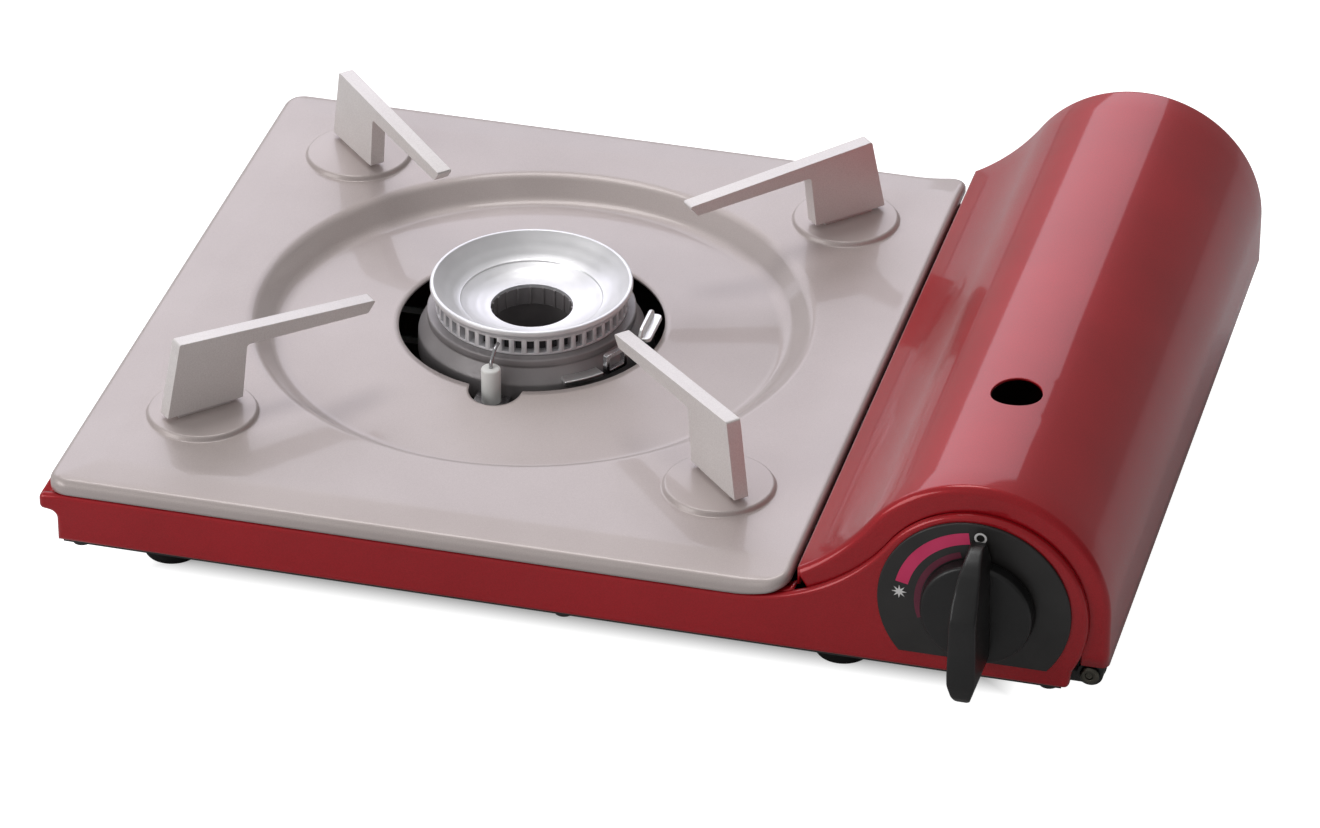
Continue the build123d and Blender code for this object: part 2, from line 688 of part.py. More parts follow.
def drip_pan():
    """Pressed steel top plate: skirt all round, sunk basin, burner hole and four bosses."""
    block = slab_y(margin_face(pan_left, 0, skirt_depth), front, back)
    block = fillet(block.edges().filter_by(Axis.Z), pan_corner)
    hollow_block = slab_y(margin_face(pan_left, pan_sheet, skirt_depth + 3), front, back)
    hollow_block = fillet(hollow_block.edges().filter_by(Axis.Z), pan_corner)
    inside = hollow_block & box(pan_left + pan_sheet, pan_right - pan_sheet, front + pan_sheet,
                                back - pan_sheet, 0, 90)
    pan = block - inside
    top, t = pan_top, pan_sheet
    pan -= rod_z(0, 0, basin_r, 30, 50)
    wall_in = basin_r - 1.6
    low = top - basin_depth
    throat = top - throat_depth
    pan += turned((basin_r, top), (wall_in, top - 0.7), (basin_floor_r + 1.8, low + 0.7),
                  (basin_floor_r - 1.2, low + 0.1), (throat_r, throat), (throat_r, throat - t),
                  (basin_floor_r - 1.0, low + 0.1 - t), (basin_floor_r + 2.2, low + 0.5 - t),
                  (wall_in + 0.5, top - 0.7 - t), (basin_r, top - t))
    for sx in (-1, 1):
        for sy in (-1, 1):
            spot = Pos(sx * boss_at, sy * boss_at, 0)
            pan += spot * Pos(0, 0, top + boss_rise / 2) * Cone(boss_r, boss_r - 1.1, boss_rise)
            pan -= spot * Pos(0, 0, top - t + boss_rise / 2) * Cone(boss_r - 0.7, boss_r - 1.8, boss_rise)
    pan -= rod_z(0.5, electrode_y - 2.2, lobe_r, 30, 50)
    for a in support_angles():
        for tab in tabs(a, 0.0):
            pan -= tab
    return pan


def support_angles():
    return {"front_right": -45, "rear_right": 45, "rear_left": 135, "front_left": 225}


def tabs(name, trim):
    """The two tabs of a pot support where they pass through the pan."""
    top = pan_top + boss_rise
    shapes = []
    for r in (111.0, 123.0):
        peg = box(r - tab_w / 2 + trim, r + tab_w / 2 - trim, -tab_t / 2 + trim, tab_t / 2 - trim,
                  top - 2.6, top)
        shapes.append(Rot(0, 0, support_angles()[name]) * peg)
    return shapes


def pot_support(name):
    """Upright plate on a boss: a broad leg outside, an arm that slopes down to the burner."""
    rise = (crest_h - tip_h) / (crest_r - tip_r)
    knee_r = leg_in - 2.2
    arm_under = tip_h + rise * (knee_r - tip_r) - arm_h
    outline = [(leg_out, leg_foot), (crest_r, crest_h), (tip_r, tip_h), (tip_r + 3.0, tip_h - 3.9),
               (knee_r, arm_under), (leg_in, leg_foot)]
    plate = slab_y(make_face(Polyline(*[(r, pan_top + z) for r, z in outline], close=True)),
                   -support_t / 2, support_t / 2)
    top = pan_top + boss_rise
    plate += box(leg_in + 3, leg_out - 4, -tab_t / 2, tab_t / 2, top, pan_top + leg_foot)
    return Rot(0, 0, support_angles()[name]) * plate + tabs(name, 0.05)


def main():
    os.makedirs("parts", exist_ok=True)
    save("body_shell", body_shell())
    save("rear_panel", rear_panel())
    save("bottom_pan", bottom_pan())
    for name, (x, y) in zip(("front_left", "rear_left", "front_right", "rear_right"), foot_points()):
        save(f"foot_{name}", foot(x, y))
    save("heat_shield", heat_shield())
    save("case_screws", case_screws())
    save("control_plate", control_plate())
    save("governor_standoffs", governor_standoffs())
    save("governor_bracket", governor_bracket())
    save("governor_body", governor_body())
    save("governor_cap", governor_cap())
    save("governor_screws", governor_screws())
    save("magnet_plate", magnet_plate())
    save("magnets", magnets())
    save("inlet_nozzle", inlet_nozzle())
    save("inlet_seal", inlet_seal())
    save("cartridge_locator", cartridge_locator())
    save("cartridge_rests", cartridge_rests())
    save("knob", knob())
    save("knob_spindle", knob_spindle())
    save("ignition_cam", ignition_cam())
    save("piezo_plunger", piezo_plunger())
    save("piezo_igniter", piezo_igniter())
    save("igniter_bracket", igniter_bracket())
    lead = ignition_lead()
    print("lead bends", [round(r, 1) for r in lead_bends(lead)])
    save("ignition_lead", tube(lead, lead_bends(lead), 1.2))
    pipe = gas_pipe()
    print("pipe bends", [round(r, 1) for r in lead_bends(pipe)])
    save("gas_pipe", tube(pipe, lead_bends(pipe), 2.0))
    save("mixing_tube", mixing_tube())
    save("jet_bracket", jet_bracket())
    save("jet", jet())
    save("burner_base", burner_base())
    save("burner_head", burner_head())
    save("burner_posts", burner_posts())
    save("electrode_insulator", electrode_insulator())
    save("electrode_wire", electrode_wire())
    save("electrode_clip", electrode_clip())
    save("heat_panel", heat_panel())
    save("heat_clip", heat_clip())
    for name, y in zip(("front", "rear"), hinge_ys):
        save(f"hinge_bracket_{name}", hinge_bracket(y))
        save(f"hinge_pin_{name}", hinge_pin(y))
        save(f"cover_lug_{name}", cover_lug(y))
    save("cartridge_cover", cartridge_cover())
    save("hinge_rivets", hinge_rivets())
    save("cover_catch", cover_catch())
    save("catch_spring", catch_spring())
    save("drip_pan", drip_pan())
    for name in support_angles():
        save(f"pot_support_{name}", pot_support(name))


if __name__ == "__main__":
    main()
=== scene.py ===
"""Looks of the slim gas stove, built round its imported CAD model.

Lengths are millimetres. Inside this file X and Y are measured from the burner's axis and Z from the
table; at() turns such a point into the row frame.
"""

import json
from math import acos, asin, atan2, cos, degrees, exp, hypot, log, pi, radians, sin, sqrt, tan

import bmesh
import bpy
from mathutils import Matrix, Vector


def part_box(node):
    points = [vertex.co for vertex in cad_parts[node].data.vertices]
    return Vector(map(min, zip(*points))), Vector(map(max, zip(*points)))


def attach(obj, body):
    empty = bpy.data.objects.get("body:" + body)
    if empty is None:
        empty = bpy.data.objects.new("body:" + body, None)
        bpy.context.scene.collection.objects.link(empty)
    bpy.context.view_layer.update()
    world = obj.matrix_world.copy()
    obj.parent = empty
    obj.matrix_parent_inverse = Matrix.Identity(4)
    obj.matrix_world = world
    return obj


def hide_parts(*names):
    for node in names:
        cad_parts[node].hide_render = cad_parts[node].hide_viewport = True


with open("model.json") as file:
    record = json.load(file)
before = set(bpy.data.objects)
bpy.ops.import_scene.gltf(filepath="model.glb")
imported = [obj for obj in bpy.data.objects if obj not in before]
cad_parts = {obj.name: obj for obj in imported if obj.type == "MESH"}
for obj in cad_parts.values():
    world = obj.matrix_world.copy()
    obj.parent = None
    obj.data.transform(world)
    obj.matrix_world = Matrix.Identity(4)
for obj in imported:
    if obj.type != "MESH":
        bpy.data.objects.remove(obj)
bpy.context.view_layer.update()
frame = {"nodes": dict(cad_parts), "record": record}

MM = 0.001


def middle(node):
    low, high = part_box(node)
    return (low + high) / 2


burner = middle("burner_head")


def at(x, y, z):
    return Vector((burner.x + x * MM, burner.y + y * MM, z * MM))


def span(node):
    """Lowest and highest corner of a CAD node, in this file's millimetres."""
    shift = Vector((burner.x, burner.y, 0))
    return tuple((corner - shift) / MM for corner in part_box(node))


# -------- driving sizes
shell_low, shell_high = span("body_shell")
pan_low, pan_high = span("drip_pan")
cover_low, cover_high = span("cartridge_cover")
knob_low, knob_high = span("knob")
spindle_low, spindle_high = span("knob_spindle")

front = pan_low.y  # front plane of the pan's skirt and of the body
back = pan_high.y
body_left = shell_low.x + 5.6  # the wall itself; a rolled lip stands 5.6 outside it
wall_right = span("hinge_bracket_front")[0].x  # outer face of the right wall, under the hinge brackets
panel_foot = shell_low.z
middle_x = 60.0  # a place between the body's side walls
right_top = 25.5  # top of the right wall
rim_z = 36.2  # top of the body's rim, under the pan's skirt
pan_top = 42.5
pan_left = pan_low.x
pan_right = pan_high.x
pan_corner = 7.0
knob_x = (spindle_low.x + spindle_high.x) / 2
knob_z = (spindle_low.z + spindle_high.z) / 2
cover_front = cover_low.y
cover_back = cover_high.y
cover_left = cover_low.x
cover_foot = cover_low.z
crest = 40.5  # radius of the cover's crest
crest_x = cover_high.x - crest
crest_z = cover_high.z - crest
hollow = 68.0
join_deg = 145.3  # where a crest arc meets its hollow arc
hole_r = 7.9
hole_x = crest_x - 1.0
hole_y = -71.5
panel_crest = 33.6
panel_crest_x = 173.6
panel_crest_z = 42.5
panel_hollow = 58.8
panel_left = 97.6
throat_r = 42.4
throat_drop = 2.6
lobe_r = 8.4
lobe_y = -42.2
basin_floor_r = 81.2
basin_r = 89.6
basin_depth = 7.2
boss_at = 82.7
boss_rise = 1.6
sheet = 0.8
rim_w = 8.6  # depth of the cover's end rims
print_t = 0.06  # thickness of the printing on the dial plate
base_r = 36.4  # widest radius of the burner's base
seat_z = 45.6  # where the burner's head sits on its base
air_r = 13.1  # inner hole of the head
tube_deg = -30.0  # way from the burner's axis along its mixing tube
hinge_low, hinge_high = span("hinge_pin_front")


# -------- outlines
def rounded(corners, closed=False, steps=6):
    """A line through corners (a, b) or (a, b, radius). A corner with a radius becomes an arc."""
    line = []
    count = len(corners)
    for i, corner in enumerate(corners):
        here = Vector(corner[:2])
        radius = corner[2] if len(corner) > 2 else 0
        if radius == 0 or (not closed and i in (0, count - 1)):
            line.append(here)
            continue
        back_way = Vector(corners[i - 1][:2]) - here
        on_way = Vector(corners[(i + 1) % count][:2]) - here
        half = back_way.angle(on_way) / 2
        reach = min(radius / tan(half), 0.49 * back_way.length, 0.49 * on_way.length)
        radius = reach * tan(half)
        u = back_way.normalized()
        v = on_way.normalized()
        centre = here + (u + v).normalized() * (radius / sin(half))
        start = here + u * reach - centre
        end = here + v * reach - centre
        a0 = atan2(start.y, start.x)
        turn = (atan2(end.y, end.x) - a0 + pi) % (2 * pi) - pi
        for k in range(steps + 1):
            a = a0 + turn * k / steps
            line.append(centre + Vector((cos(a), sin(a))) * radius)
    return line


def arc(cx, cz, r, from_deg, to_deg, steps):
    line = []
    for k in range(steps + 1):
        a = radians(from_deg + (to_deg - from_deg) * k / steps)
        line.append(Vector((cx + r * cos(a), cz + r * sin(a))))
    return line


def bent(first, through, last, steps):
    """A smooth line from first to last that passes a third point half-way."""
    control = 2 * through - (first + last) / 2
    line = []
    for k in range(steps + 1):
        t = k / steps
        line.append((1 - t) ** 2 * first + 2 * t * (1 - t) * control + t * t * last)
    return line


def inset(line, distance, closed):
    """The line moved to its left by a distance, with mitred corners."""
    sharpest = 0.3
    out = []
    count = len(line)
    for i, here in enumerate(line):
        before = line[i - 1] if closed or i > 0 else None
        after = line[(i + 1) % count] if closed or i < count - 1 else None
        normals = []
        for a, b in ((before, here), (here, after)):
            if a is not None and b is not None and (b - a).length > 1e-9:
                way = (b - a).normalized()
                normals.append(Vector((-way.y, way.x)))
        mean = sum(normals, Vector((0, 0)))
        mean.normalize()
        out.append(here + mean * (distance / max(sharpest, mean.dot(normals[0]))))
    return out


def s_curve(cx, cz, r, r_hollow, x_left, end_deg, cells):
    """From the left foot of a hollow arc, up it and over the crest arc it runs into."""
    join = radians(join_deg)
    hx = cx + (r + r_hollow) * cos(join)
    hz = cz + (r + r_hollow) * sin(join)
    low_deg = degrees(-acos((x_left - hx) / r_hollow))
    up = arc(hx, hz, r_hollow, low_deg, join_deg - 180, cells // 2)
    over = arc(cx, cz, r, join_deg, end_deg, cells)
    return up + over[1:]


def polar(a, r, z, side=0.0):
    """A point at an angle and a distance from the burner's axis, some way to the side of that ray."""
    return (r * cos(a) - side * sin(a), r * sin(a) + side * cos(a), z)


# -------- mesh building
def islands(bm):
    """The mesh's faces, in groups that hang together."""
    seen = set()
    found = []
    for first in bm.faces:
        if first in seen:
            continue
        seen.add(first)
        island = [first]
        for face in island:
            near = [other for edge in face.edges for other in edge.link_faces if other not in seen]
            fresh = list(dict.fromkeys(near))
            seen.update(fresh)
            island.extend(fresh)
        found.append(island)
    return found


def turn_away(bm, island, inside):
    """Turn a group of faces over if they face the inside point."""
    votes = sum(f.calc_area() * f.normal.dot((f.calc_center_median() - inside).normalized()) for f in island)
    if votes < 0:
        bmesh.ops.reverse_faces(bm, faces=island)


class Build:
    """Points in this file's millimetres, with faces between rows of them."""

    def __init__(self):
        self.points = []
        self.faces = []

    def row(self, points):
        start = len(self.points)
        self.points.extend(points)
        return list(range(start, len(self.points)))

    def bridge(self, a, b, closed=True):
        for i in range(len(a) if closed else len(a) - 1):
            k = (i + 1) % len(a)
            self.faces.append((a[i], a[k], b[k], b[i]))

    def rows(self, lines, closed=True):
        made = [self.row(line) for line in lines]
        for a, b in zip(made, made[1:]):
            self.bridge(a, b, closed)
        return made

    def cap(self, row):
        self.faces.append(tuple(row))

    def block(self, lines):
        """A closed solid through closed lines, capped at both ends."""
        made = self.rows(lines)
        self.cap(made[0][::-1])
        self.cap(made[-1])

    def level(self, x0, x1, y0, y1, z):
        """A flat rectangle of sheet."""
        self.rows([[(x, y, z) for x in (x0, x1)] for y in (y0, y1)], closed=False)

    def drawn(self, section, y0, y1):
        """A sheet with a section in X and Z, between two Y planes."""
        self.rows(slab_lines(section, y0, y1), closed=False)

    def turned(self, profile, count, centre=(0, 0), closed=True, to_3d=None):
        """A ring of revolution about an upright axis from (radius, height) points."""
        lines = []
        for r, z in profile:
            ring = [(r * cos(2 * pi * k / count), r * sin(2 * pi * k / count), z) for k in range(count)]
            lines.append([to_3d(p) if to_3d else (centre[0] + p[0], centre[1] + p[1], p[2]) for p in ring])
        made = self.rows(lines)
        if closed:
            self.bridge(made[-1], made[0])
        return made

    def mesh(self, name, facing, sharp):
        """A smooth mesh whose faces all look outwards."""
        mesh = bpy.data.meshes.new(name)
        mesh.from_pydata([at(*p) for p in self.points], [], self.faces)
        bm = bmesh.new()
        bm.from_mesh(mesh)
        bmesh.ops.remove_doubles(bm, verts=bm.verts, dist=2e-6)
        bmesh.ops.dissolve_degenerate(bm, edges=bm.edges, dist=1e-6)
        bmesh.ops.recalc_face_normals(bm, faces=bm.faces)
        if facing is not None:
            for island in islands(bm):
                turn_away(bm, island, at(*facing))
        for face in bm.faces:
            face.smooth = True
        bm.to_mesh(mesh)
        bm.free()
        mesh.set_sharp_from_angle(angle=radians(sharp))
        return mesh

    def make(self, name, material, body, nodes=(), facing=None, thick=0.0, bevel=0.0, sharp=32):
        """The object. facing is a point inside an open sheet; a closed solid needs none."""
        mesh = self.mesh(name, facing, sharp)
        piece = bpy.data.objects.new(name, mesh)
        bpy.context.scene.collection.objects.link(piece)
        mesh.materials.append(material)
        if thick:
            solid = piece.modifiers.new("thickness", "SOLIDIFY")
            solid.thickness = thick * MM
            solid.offset = -1
        if bevel:
            edge = break_edges(piece, bevel, 3, 30)
            edge.harden_normals = True
        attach(piece, body)
        if nodes:
            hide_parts(*nodes)
        return piece


def break_edges(piece, width, segments, angle_deg):
    """A bevel on the edges that are sharper than an angle."""
    edge = piece.modifiers.new("edges", "BEVEL")
    edge.width = width * MM
    edge.segments = segments
    edge.limit_method = "ANGLE"
    edge.angle_limit = radians(angle_deg)
    return edge


def slab_lines(outline, y0, y1):
    """Two copies of an outline in X and Z, at two Y planes."""
    return [[(p.x, y, p.y) for p in outline] for y in (y0, y1)]


def rounded_slab(outline, y0, y1, edge, steps=4):
    """Lines of a plate with a rounded edge at y0. The outline is anticlockwise from the front."""
    brim = 0.05
    lines = [[(p.x, y0, p.y) for p in inset(outline, edge + brim, True)]]
    for k in range(steps + 1):
        a = pi / 2 * k / steps
        moved = inset(outline, edge * (1 - sin(a)), True)
        lines.append([(p.x, y0 + edge * (1 - cos(a)), p.y) for p in moved])
    lines.append([(p.x, y1, p.y) for p in outline])
    return lines


# -------- materials
def linear(*rgb):
    """An sRGB colour of 0 to 255 as the linear colour that a shader takes."""
    parts = [c / 255 for c in rgb]
    return tuple(c / 12.92 if c <= 0.04045 else ((c + 0.055) / 1.055) ** 2.4 for c in parts) + (1.0,)


class Shader:
    """A node material on the part's own coordinates, in metres."""

    def __init__(self, name):
        self.material = bpy.data.materials.new(name)
        self.material.use_nodes = True
        self.tree = self.material.node_tree
        self.surface = self.tree.nodes["Principled BSDF"]
        self.where = self.tree.nodes.new("ShaderNodeTexCoord").outputs["Object"]
        self.normal = None

    def node(self, kind, **inputs):
        made = self.tree.nodes.new(kind)
        for key, value in inputs.items():
            made.inputs[key.replace("_", " ")].default_value = value
        return made

    def link(self, a, b):
        self.tree.links.new(a, b)

    def put(self, **values):
        for key, value in values.items():
            self.surface.inputs[key.replace("_", " ")].default_value = value

    def stretched(self, x, y, z):
        mapping = self.tree.nodes.new("ShaderNodeMapping")
        mapping.inputs["Scale"].default_value = (x, y, z)
        self.link(self.where, mapping.inputs["Vector"])
        return mapping.outputs["Vector"]

    def noise(self, size_mm, detail=2.0, where=None):
        made = self.node("ShaderNodeTexNoise", Scale=1 / (size_mm * MM), Detail=detail)
        self.link(where or self.where, made.inputs["Vector"])
        return made.outputs["Fac"]

    def between(self, value, low, high, start=0.3, stop=0.7):
        made = self.tree.nodes.new("ShaderNodeMapRange")
        made.inputs["From Min"].default_value = start
        made.inputs["From Max"].default_value = stop
        made.inputs["To Min"].default_value = low
        made.inputs["To Max"].default_value = high
        self.link(value, made.inputs["Value"])
        return made.outputs["Result"]

    def blend(self, factor, a, b):
        """A mix of two sRGB colours."""
        made = self.tree.nodes.new("ShaderNodeMix")
        made.data_type = "RGBA"
        for key, value in (("A", a), ("B", b)):
            sockets = [s for s in made.inputs if s.name == key and s.type == "RGBA"]
            sockets[0].default_value = linear(*value)
        self.link(factor, made.inputs["Factor"])
        return [s for s in made.outputs if s.type == "RGBA"][0]

    def bump(self, height, depth_mm, strength=1.0):
        made = self.node("ShaderNodeBump", Strength=strength, Distance=depth_mm * MM)
        self.link(height, made.inputs["Height"])
        if self.normal is not None:
            self.link(self.normal, made.inputs["Normal"])
        self.normal = made.outputs["Normal"]
        self.link(self.normal, self.surface.inputs["Normal"])

    def maths(self, operation, a, b):
        """A Math node of two sockets or numbers."""
        made = self.tree.nodes.new("ShaderNodeMath")
        made.operation = operation
        for socket, value in zip(made.inputs, (a, b)):
            if isinstance(value, (int, float)):
                socket.default_value = value
            else:
                self.link(value, socket)
        return made.outputs[0]

    def footprint(self):
        """Nought under the middle of the body and one at the edge of its outline on the floor."""
        parts = self.tree.nodes.new("ShaderNodeSeparateXYZ")
        self.link(self.where, parts.inputs["Vector"])
        shares = []
        for axis, zero, low, high in (("X", burner.x, shell_low.x, shell_high.x),
                                      ("Y", burner.y, shell_low.y, shell_high.y)):
            centre = zero + (low + high) / 2 * MM
            away = self.maths("ABSOLUTE", self.maths("SUBTRACT", parts.outputs[axis], centre), 0.0)
            shares.append(self.maths("DIVIDE", away, (high - low) / 2 * MM))
        return self.maths("MAXIMUM", *shares)

    def colour(self, socket):
        self.link(socket, self.surface.inputs["Base Color"])

    def rough(self, socket):
        self.link(socket, self.surface.inputs["Roughness"])


def painted(name, dark, light, metal, rough, grain_mm, grain_depth, coat=0.0, specular=0.5):
    """Sprayed paint: faint cloudiness, fine metallic grain and a little orange peel."""
    s = Shader(name)
    cloud = s.noise(30, 3)
    grain = s.noise(grain_mm, 2)
    mixed = s.maths("ADD", s.between(cloud, 0.0, 0.35), s.between(grain, 0.0, 0.65))
    s.colour(s.blend(mixed, dark, light))
    s.rough(s.between(grain, rough - 0.04, rough + 0.05))
    s.put(Metallic=metal, Specular_IOR_Level=specular)
    s.bump(grain, grain_depth, 0.5)
    if coat:
        s.put(Coat_Weight=coat, Coat_Roughness=0.07, Coat_IOR=1.5)
        peel = s.node("ShaderNodeBump", Strength=0.12, Distance=0.02 * MM)
        s.link(s.noise(2.2, 1), peel.inputs["Height"])
        s.link(peel.outputs["Normal"], s.surface.inputs["Coat Normal"])
    return s.material


def metal(name, dark, light, rough, grain_mm, depth, metallic=1.0, stretch=(1, 1, 1)):
    """Bare metal with a directional or cast grain."""
    s = Shader(name)
    where = s.stretched(*stretch)
    grain = s.noise(grain_mm, 4, where)
    cloud = s.noise(18, 2)
    s.colour(s.blend(s.between(cloud, 0, 1), dark, light))
    s.rough(s.between(grain, rough - 0.06, rough + 0.08))
    s.put(Metallic=metallic)
    s.bump(grain, depth, 0.6)
    return s.material


def moulded(name, dark, light, rough, grain_mm, depth, specular=0.5):
    """Moulded plastic, rubber or ceramic with its fine texture."""
    s = Shader(name)
    grain = s.noise(grain_mm, 3)
    cloud = s.noise(14, 2)
    s.colour(s.blend(s.between(cloud, 0, 1), dark, light))
    s.rough(s.between(grain, rough - 0.05, rough + 0.07))
    s.put(Specular_IOR_Level=specular)
    s.bump(grain, depth, 0.5)
    return s.material


def turned_metal(name, dark, light, rough):
    """Aluminium turned on a lathe: rings round the burner's axis."""
    ring_mm = 9.0
    s = Shader(name)
    shift = s.tree.nodes.new("ShaderNodeMapping")
    shift.inputs["Location"].default_value = (-burner.x, -burner.y, 0)
    s.link(s.where, shift.inputs["Vector"])
    rings = s.node("ShaderNodeTexWave", Scale=1 / (ring_mm * MM), Distortion=0.4, Detail=2.0)
    rings.wave_type = "RINGS"
    rings.rings_direction = "Z"
    s.link(shift.outputs["Vector"], rings.inputs["Vector"])
    cloud = s.noise(12, 2)
    s.colour(s.blend(s.between(cloud, 0, 1), dark, light))
    s.rough(s.between(rings.outputs["Fac"], rough - 0.05, rough + 0.06, 0, 1))
    s.put(Metallic=0.55)
    s.bump(rings.outputs["Fac"], 0.006, 0.5)
    return s.material


red = painted("red_paint", (156, 13, 24), (184, 22, 34), 0.30, 0.36, 0.35, 0.006,
              coat=0.7, specular=0.15)
enamel = painted("pan_paint", (185, 173, 170), (201, 190, 187), 0.30, 0.44, 0.30, 0.008,
                 coat=0.5, specular=0.3)
coating = painted("support_paint", (224, 217, 215), (242, 237, 235), 0.30, 0.42, 0.45, 0.03)
black_paint = painted("black_paint", (30, 29, 28), (42, 40, 39), 0.0, 0.38, 0.5, 0.01)
zinc = metal("zinc", (150, 150, 150), (196, 196, 196), 0.34, 1.6, 0.01, stretch=(1, 6, 6))
cast = metal("cast_aluminium", (138, 133, 134), (162, 157, 158), 0.42, 0.7, 0.05, metallic=0.35)
# painted shade: a near-black metal for the band behind the flame slots, standing for the shadow in the gas
# chamber
slot_shade = metal("slot_shade_aluminium", (40, 39, 40), (56, 55, 56), 0.40, 0.9, 0.02, metallic=0.6)
turned_alu = turned_metal("turned_aluminium", (234, 233, 235), (246, 245, 247), 0.38)
strip_alu = metal("aluminium_strip", (226, 226, 226), (242, 242, 242), 0.36, 1.2, 0.01, stretch=(5, 1, 5))
dark_steel = metal("dark_steel", (70, 68, 62), (104, 101, 92), 0.3, 0.8, 0.004)
bright = metal("bright_steel", (168, 168, 170), (206, 206, 208), 0.22, 1.0, 0.004, stretch=(1, 4, 1))
brass = metal("brass", (178, 138, 66), (208, 170, 92), 0.28, 0.9, 0.005)
black_plastic = moulded("knob_plastic", (16, 15, 15), (25, 24, 24), 0.34, 0.4, 0.015)
plate_plastic = moulded("plate_plastic", (33, 31, 30), (42, 40, 39), 0.36, 0.5, 0.01)
rubber = moulded("rubber", (22, 22, 22), (32, 31, 31), 0.78, 0.8, 0.05, 0.3)
ceramic = moulded("ceramic", (240, 239, 236), (250, 249, 247), 0.35, 0.6, 0.02)
natural = moulded("natural_plastic", (206, 200, 186), (222, 217, 205), 0.40, 0.8, 0.01)
ferrite = moulded("ferrite", (52, 51, 52), (70, 69, 70), 0.55, 0.6, 0.04)
silicone = moulded("silicone", (204, 202, 194), (220, 218, 212), 0.52, 0.8, 0.02)
print_white = moulded("white_print", (222, 220, 218), (238, 237, 236), 0.5, 0.6, 0.002)
print_rose = moulded("rose_print", (214, 44, 98), (226, 58, 110), 0.45, 0.6, 0.002)
print_wine = moulded("wine_print", (96, 28, 50), (112, 34, 60), 0.45, 0.6, 0.002)


# -------- drip pan
def on_border(a, gap):
    """Point where a ray from the burner meets the pan's rounded border, set in by a gap."""
    cx = (pan_left + pan_right) / 2
    cy = (front + back) / 2
    corner = max(pan_corner - gap, 0.8)
    half_x = (pan_right - pan_left) / 2 - gap - corner
    half_y = (back - front) / 2 - gap - corner
    low, high = 60.0, 220.0  # the border is surely between these radii
    halvings = 34
    for _ in range(halvings):
        t = (low + high) / 2
        qx = abs(t * cos(a) - cx) - half_x
        qy = abs(t * sin(a) - cy) - half_y
        outside = hypot(max(qx, 0), max(qy, 0)) + min(max(qx, qy), 0) > corner
        low, high = (low, t) if outside else (t, high)
    return low * cos(a), low * sin(a)


def pan_angles():
    """Even steps round the burner, with more at the electrode's notch and at the pan's corners."""
    even = 1.25
    at_notch = 0.4
    at_corners = 0.3
    least = 0.12
    angles = {round(k * even, 2) for k in range(int(360 / even))}
    angles |= {round(257 + k * at_notch, 2) for k in range(66)}
    for x in (pan_left + 3, pan_right - 3):
        for y in (front + 3, back - 3):
            corner = degrees(atan2(y, x)) % 360
            angles |= {round((corner + k * at_corners) % 360, 2) for k in range(-11, 12)}
    kept = []
    for a in sorted(angles):
        if not kept or a - kept[-1] > least:
            kept.append(a)
    return [radians(a) for a in kept]


def throat(a):
    """Radius of the burner hole along a ray: a circle that runs softly into the notch."""
    ahead = lobe_y * sin(a)
    inside = lobe_r**2 - (lobe_y**2 - ahead**2)
    lobe = ahead + sqrt(inside) if ahead > 0 and inside > 0 else 0.0
    soft = 1.1
    usual = 40  # keeps the exponentials small
    return soft * log(exp((throat_r - usual) / soft) + exp((lobe - usual) / soft)) + usual


def curl(x):
    """Lift of the pan's margin beside the cover, an arc that starts where the front panel rises."""
    run = pan_right - panel_left
    rise = 2.4
    r = (run**2 + rise**2) / (2 * rise)
    return r - sqrt(r**2 - max(0.0, x - panel_left) ** 2)


def margin_drop(x, y):
    """The pan's outer band falls away a little towards its left, front and back edges."""
    width = 14.0
    fall = 0.1
    soft = 0.6
    steep = 30  # past this the soft start is a straight line
    gap = min(x - pan_left, y - front, back - y)
    over = (width - gap) / soft
    return fall * soft * (log(1 + exp(over)) if over < steep else over)


def pan_height(x, y):
    return pan_top + curl(x) - margin_drop(x, y)


def basin_lines(angles):
    """The hole's edge, the rising floor of the basin and its wall, up to the pan's top."""
    tilt = (basin_depth - throat_drop) / (basin_floor_r - throat_r)
    plain_r = 53.0
    lines = []
    for k in range(5):
        line = []
        for a in angles:
            edge = throat(a)
            r = edge + (plain_r - edge) * k / 5
            line.append(polar(a, r, pan_top - throat_drop - tilt * (r - throat_r)))
        lines.append(line)
    plain_drop = throat_drop + tilt * (plain_r - throat_r)
    profile = rounded([(plain_r, -plain_drop), (basin_floor_r, -basin_depth, 7.0), (basin_r - 0.6, 0.0, 6.0),
                       (93.6, 0.0)], steps=9)
    return lines + [[polar(a, r, pan_top + drop) for a in angles] for r, drop in profile]


def margin_lines(angles):
    """The flat margin, its rounded edge and the skirt, whose foot rises beside the cover."""
    edge = 2.5
    skirt = 5.0
    hem = 0.85
    foot_lift = 1.62
    lines = []
    for gap in (17.0, 16.0, 15.2, 14.4, 13.6, 12.8, 11.8, 9.0, 6.0, 4.0):
        spots = [on_border(a, gap) for a in angles]
        lines.append([(x, y, pan_height(x, y)) for x, y in spots])
    for k in range(9):
        turn = pi / 2 * k / 8
        spots = [on_border(a, edge * (1 - sin(turn))) for a in angles]
        lines.append([(x, y, pan_height(x, y) - edge * (1 - cos(turn))) for x, y in spots])
    outer = [on_border(a, 0.0) for a in angles]
    for drop in (skirt, skirt + hem):
        lines.append([(x, y, pan_top - drop + foot_lift * curl(x)) for x, y in outer])
    return lines


def drip_pan():
    b = Build()
    angles = pan_angles()
    b.rows(basin_lines(angles) + margin_lines(angles))
    boss = rounded([(0.2, boss_rise), (16.9, boss_rise, 1.0), (17.5, 0.05, 0.7), (19.0, -0.1)], steps=5)
    for sx in (-1, 1):
        for sy in (-1, 1):
            spot = (sx * boss_at, sy * boss_at)
            made = b.turned([(p.x, pan_top + p.y) for p in boss], 96, spot, closed=False)
            b.cap(made[0])
    b.make("drip_pan_shown", enamel, "pan", ["drip_pan"],
           facing=(0, 0, -60), thick=sheet)


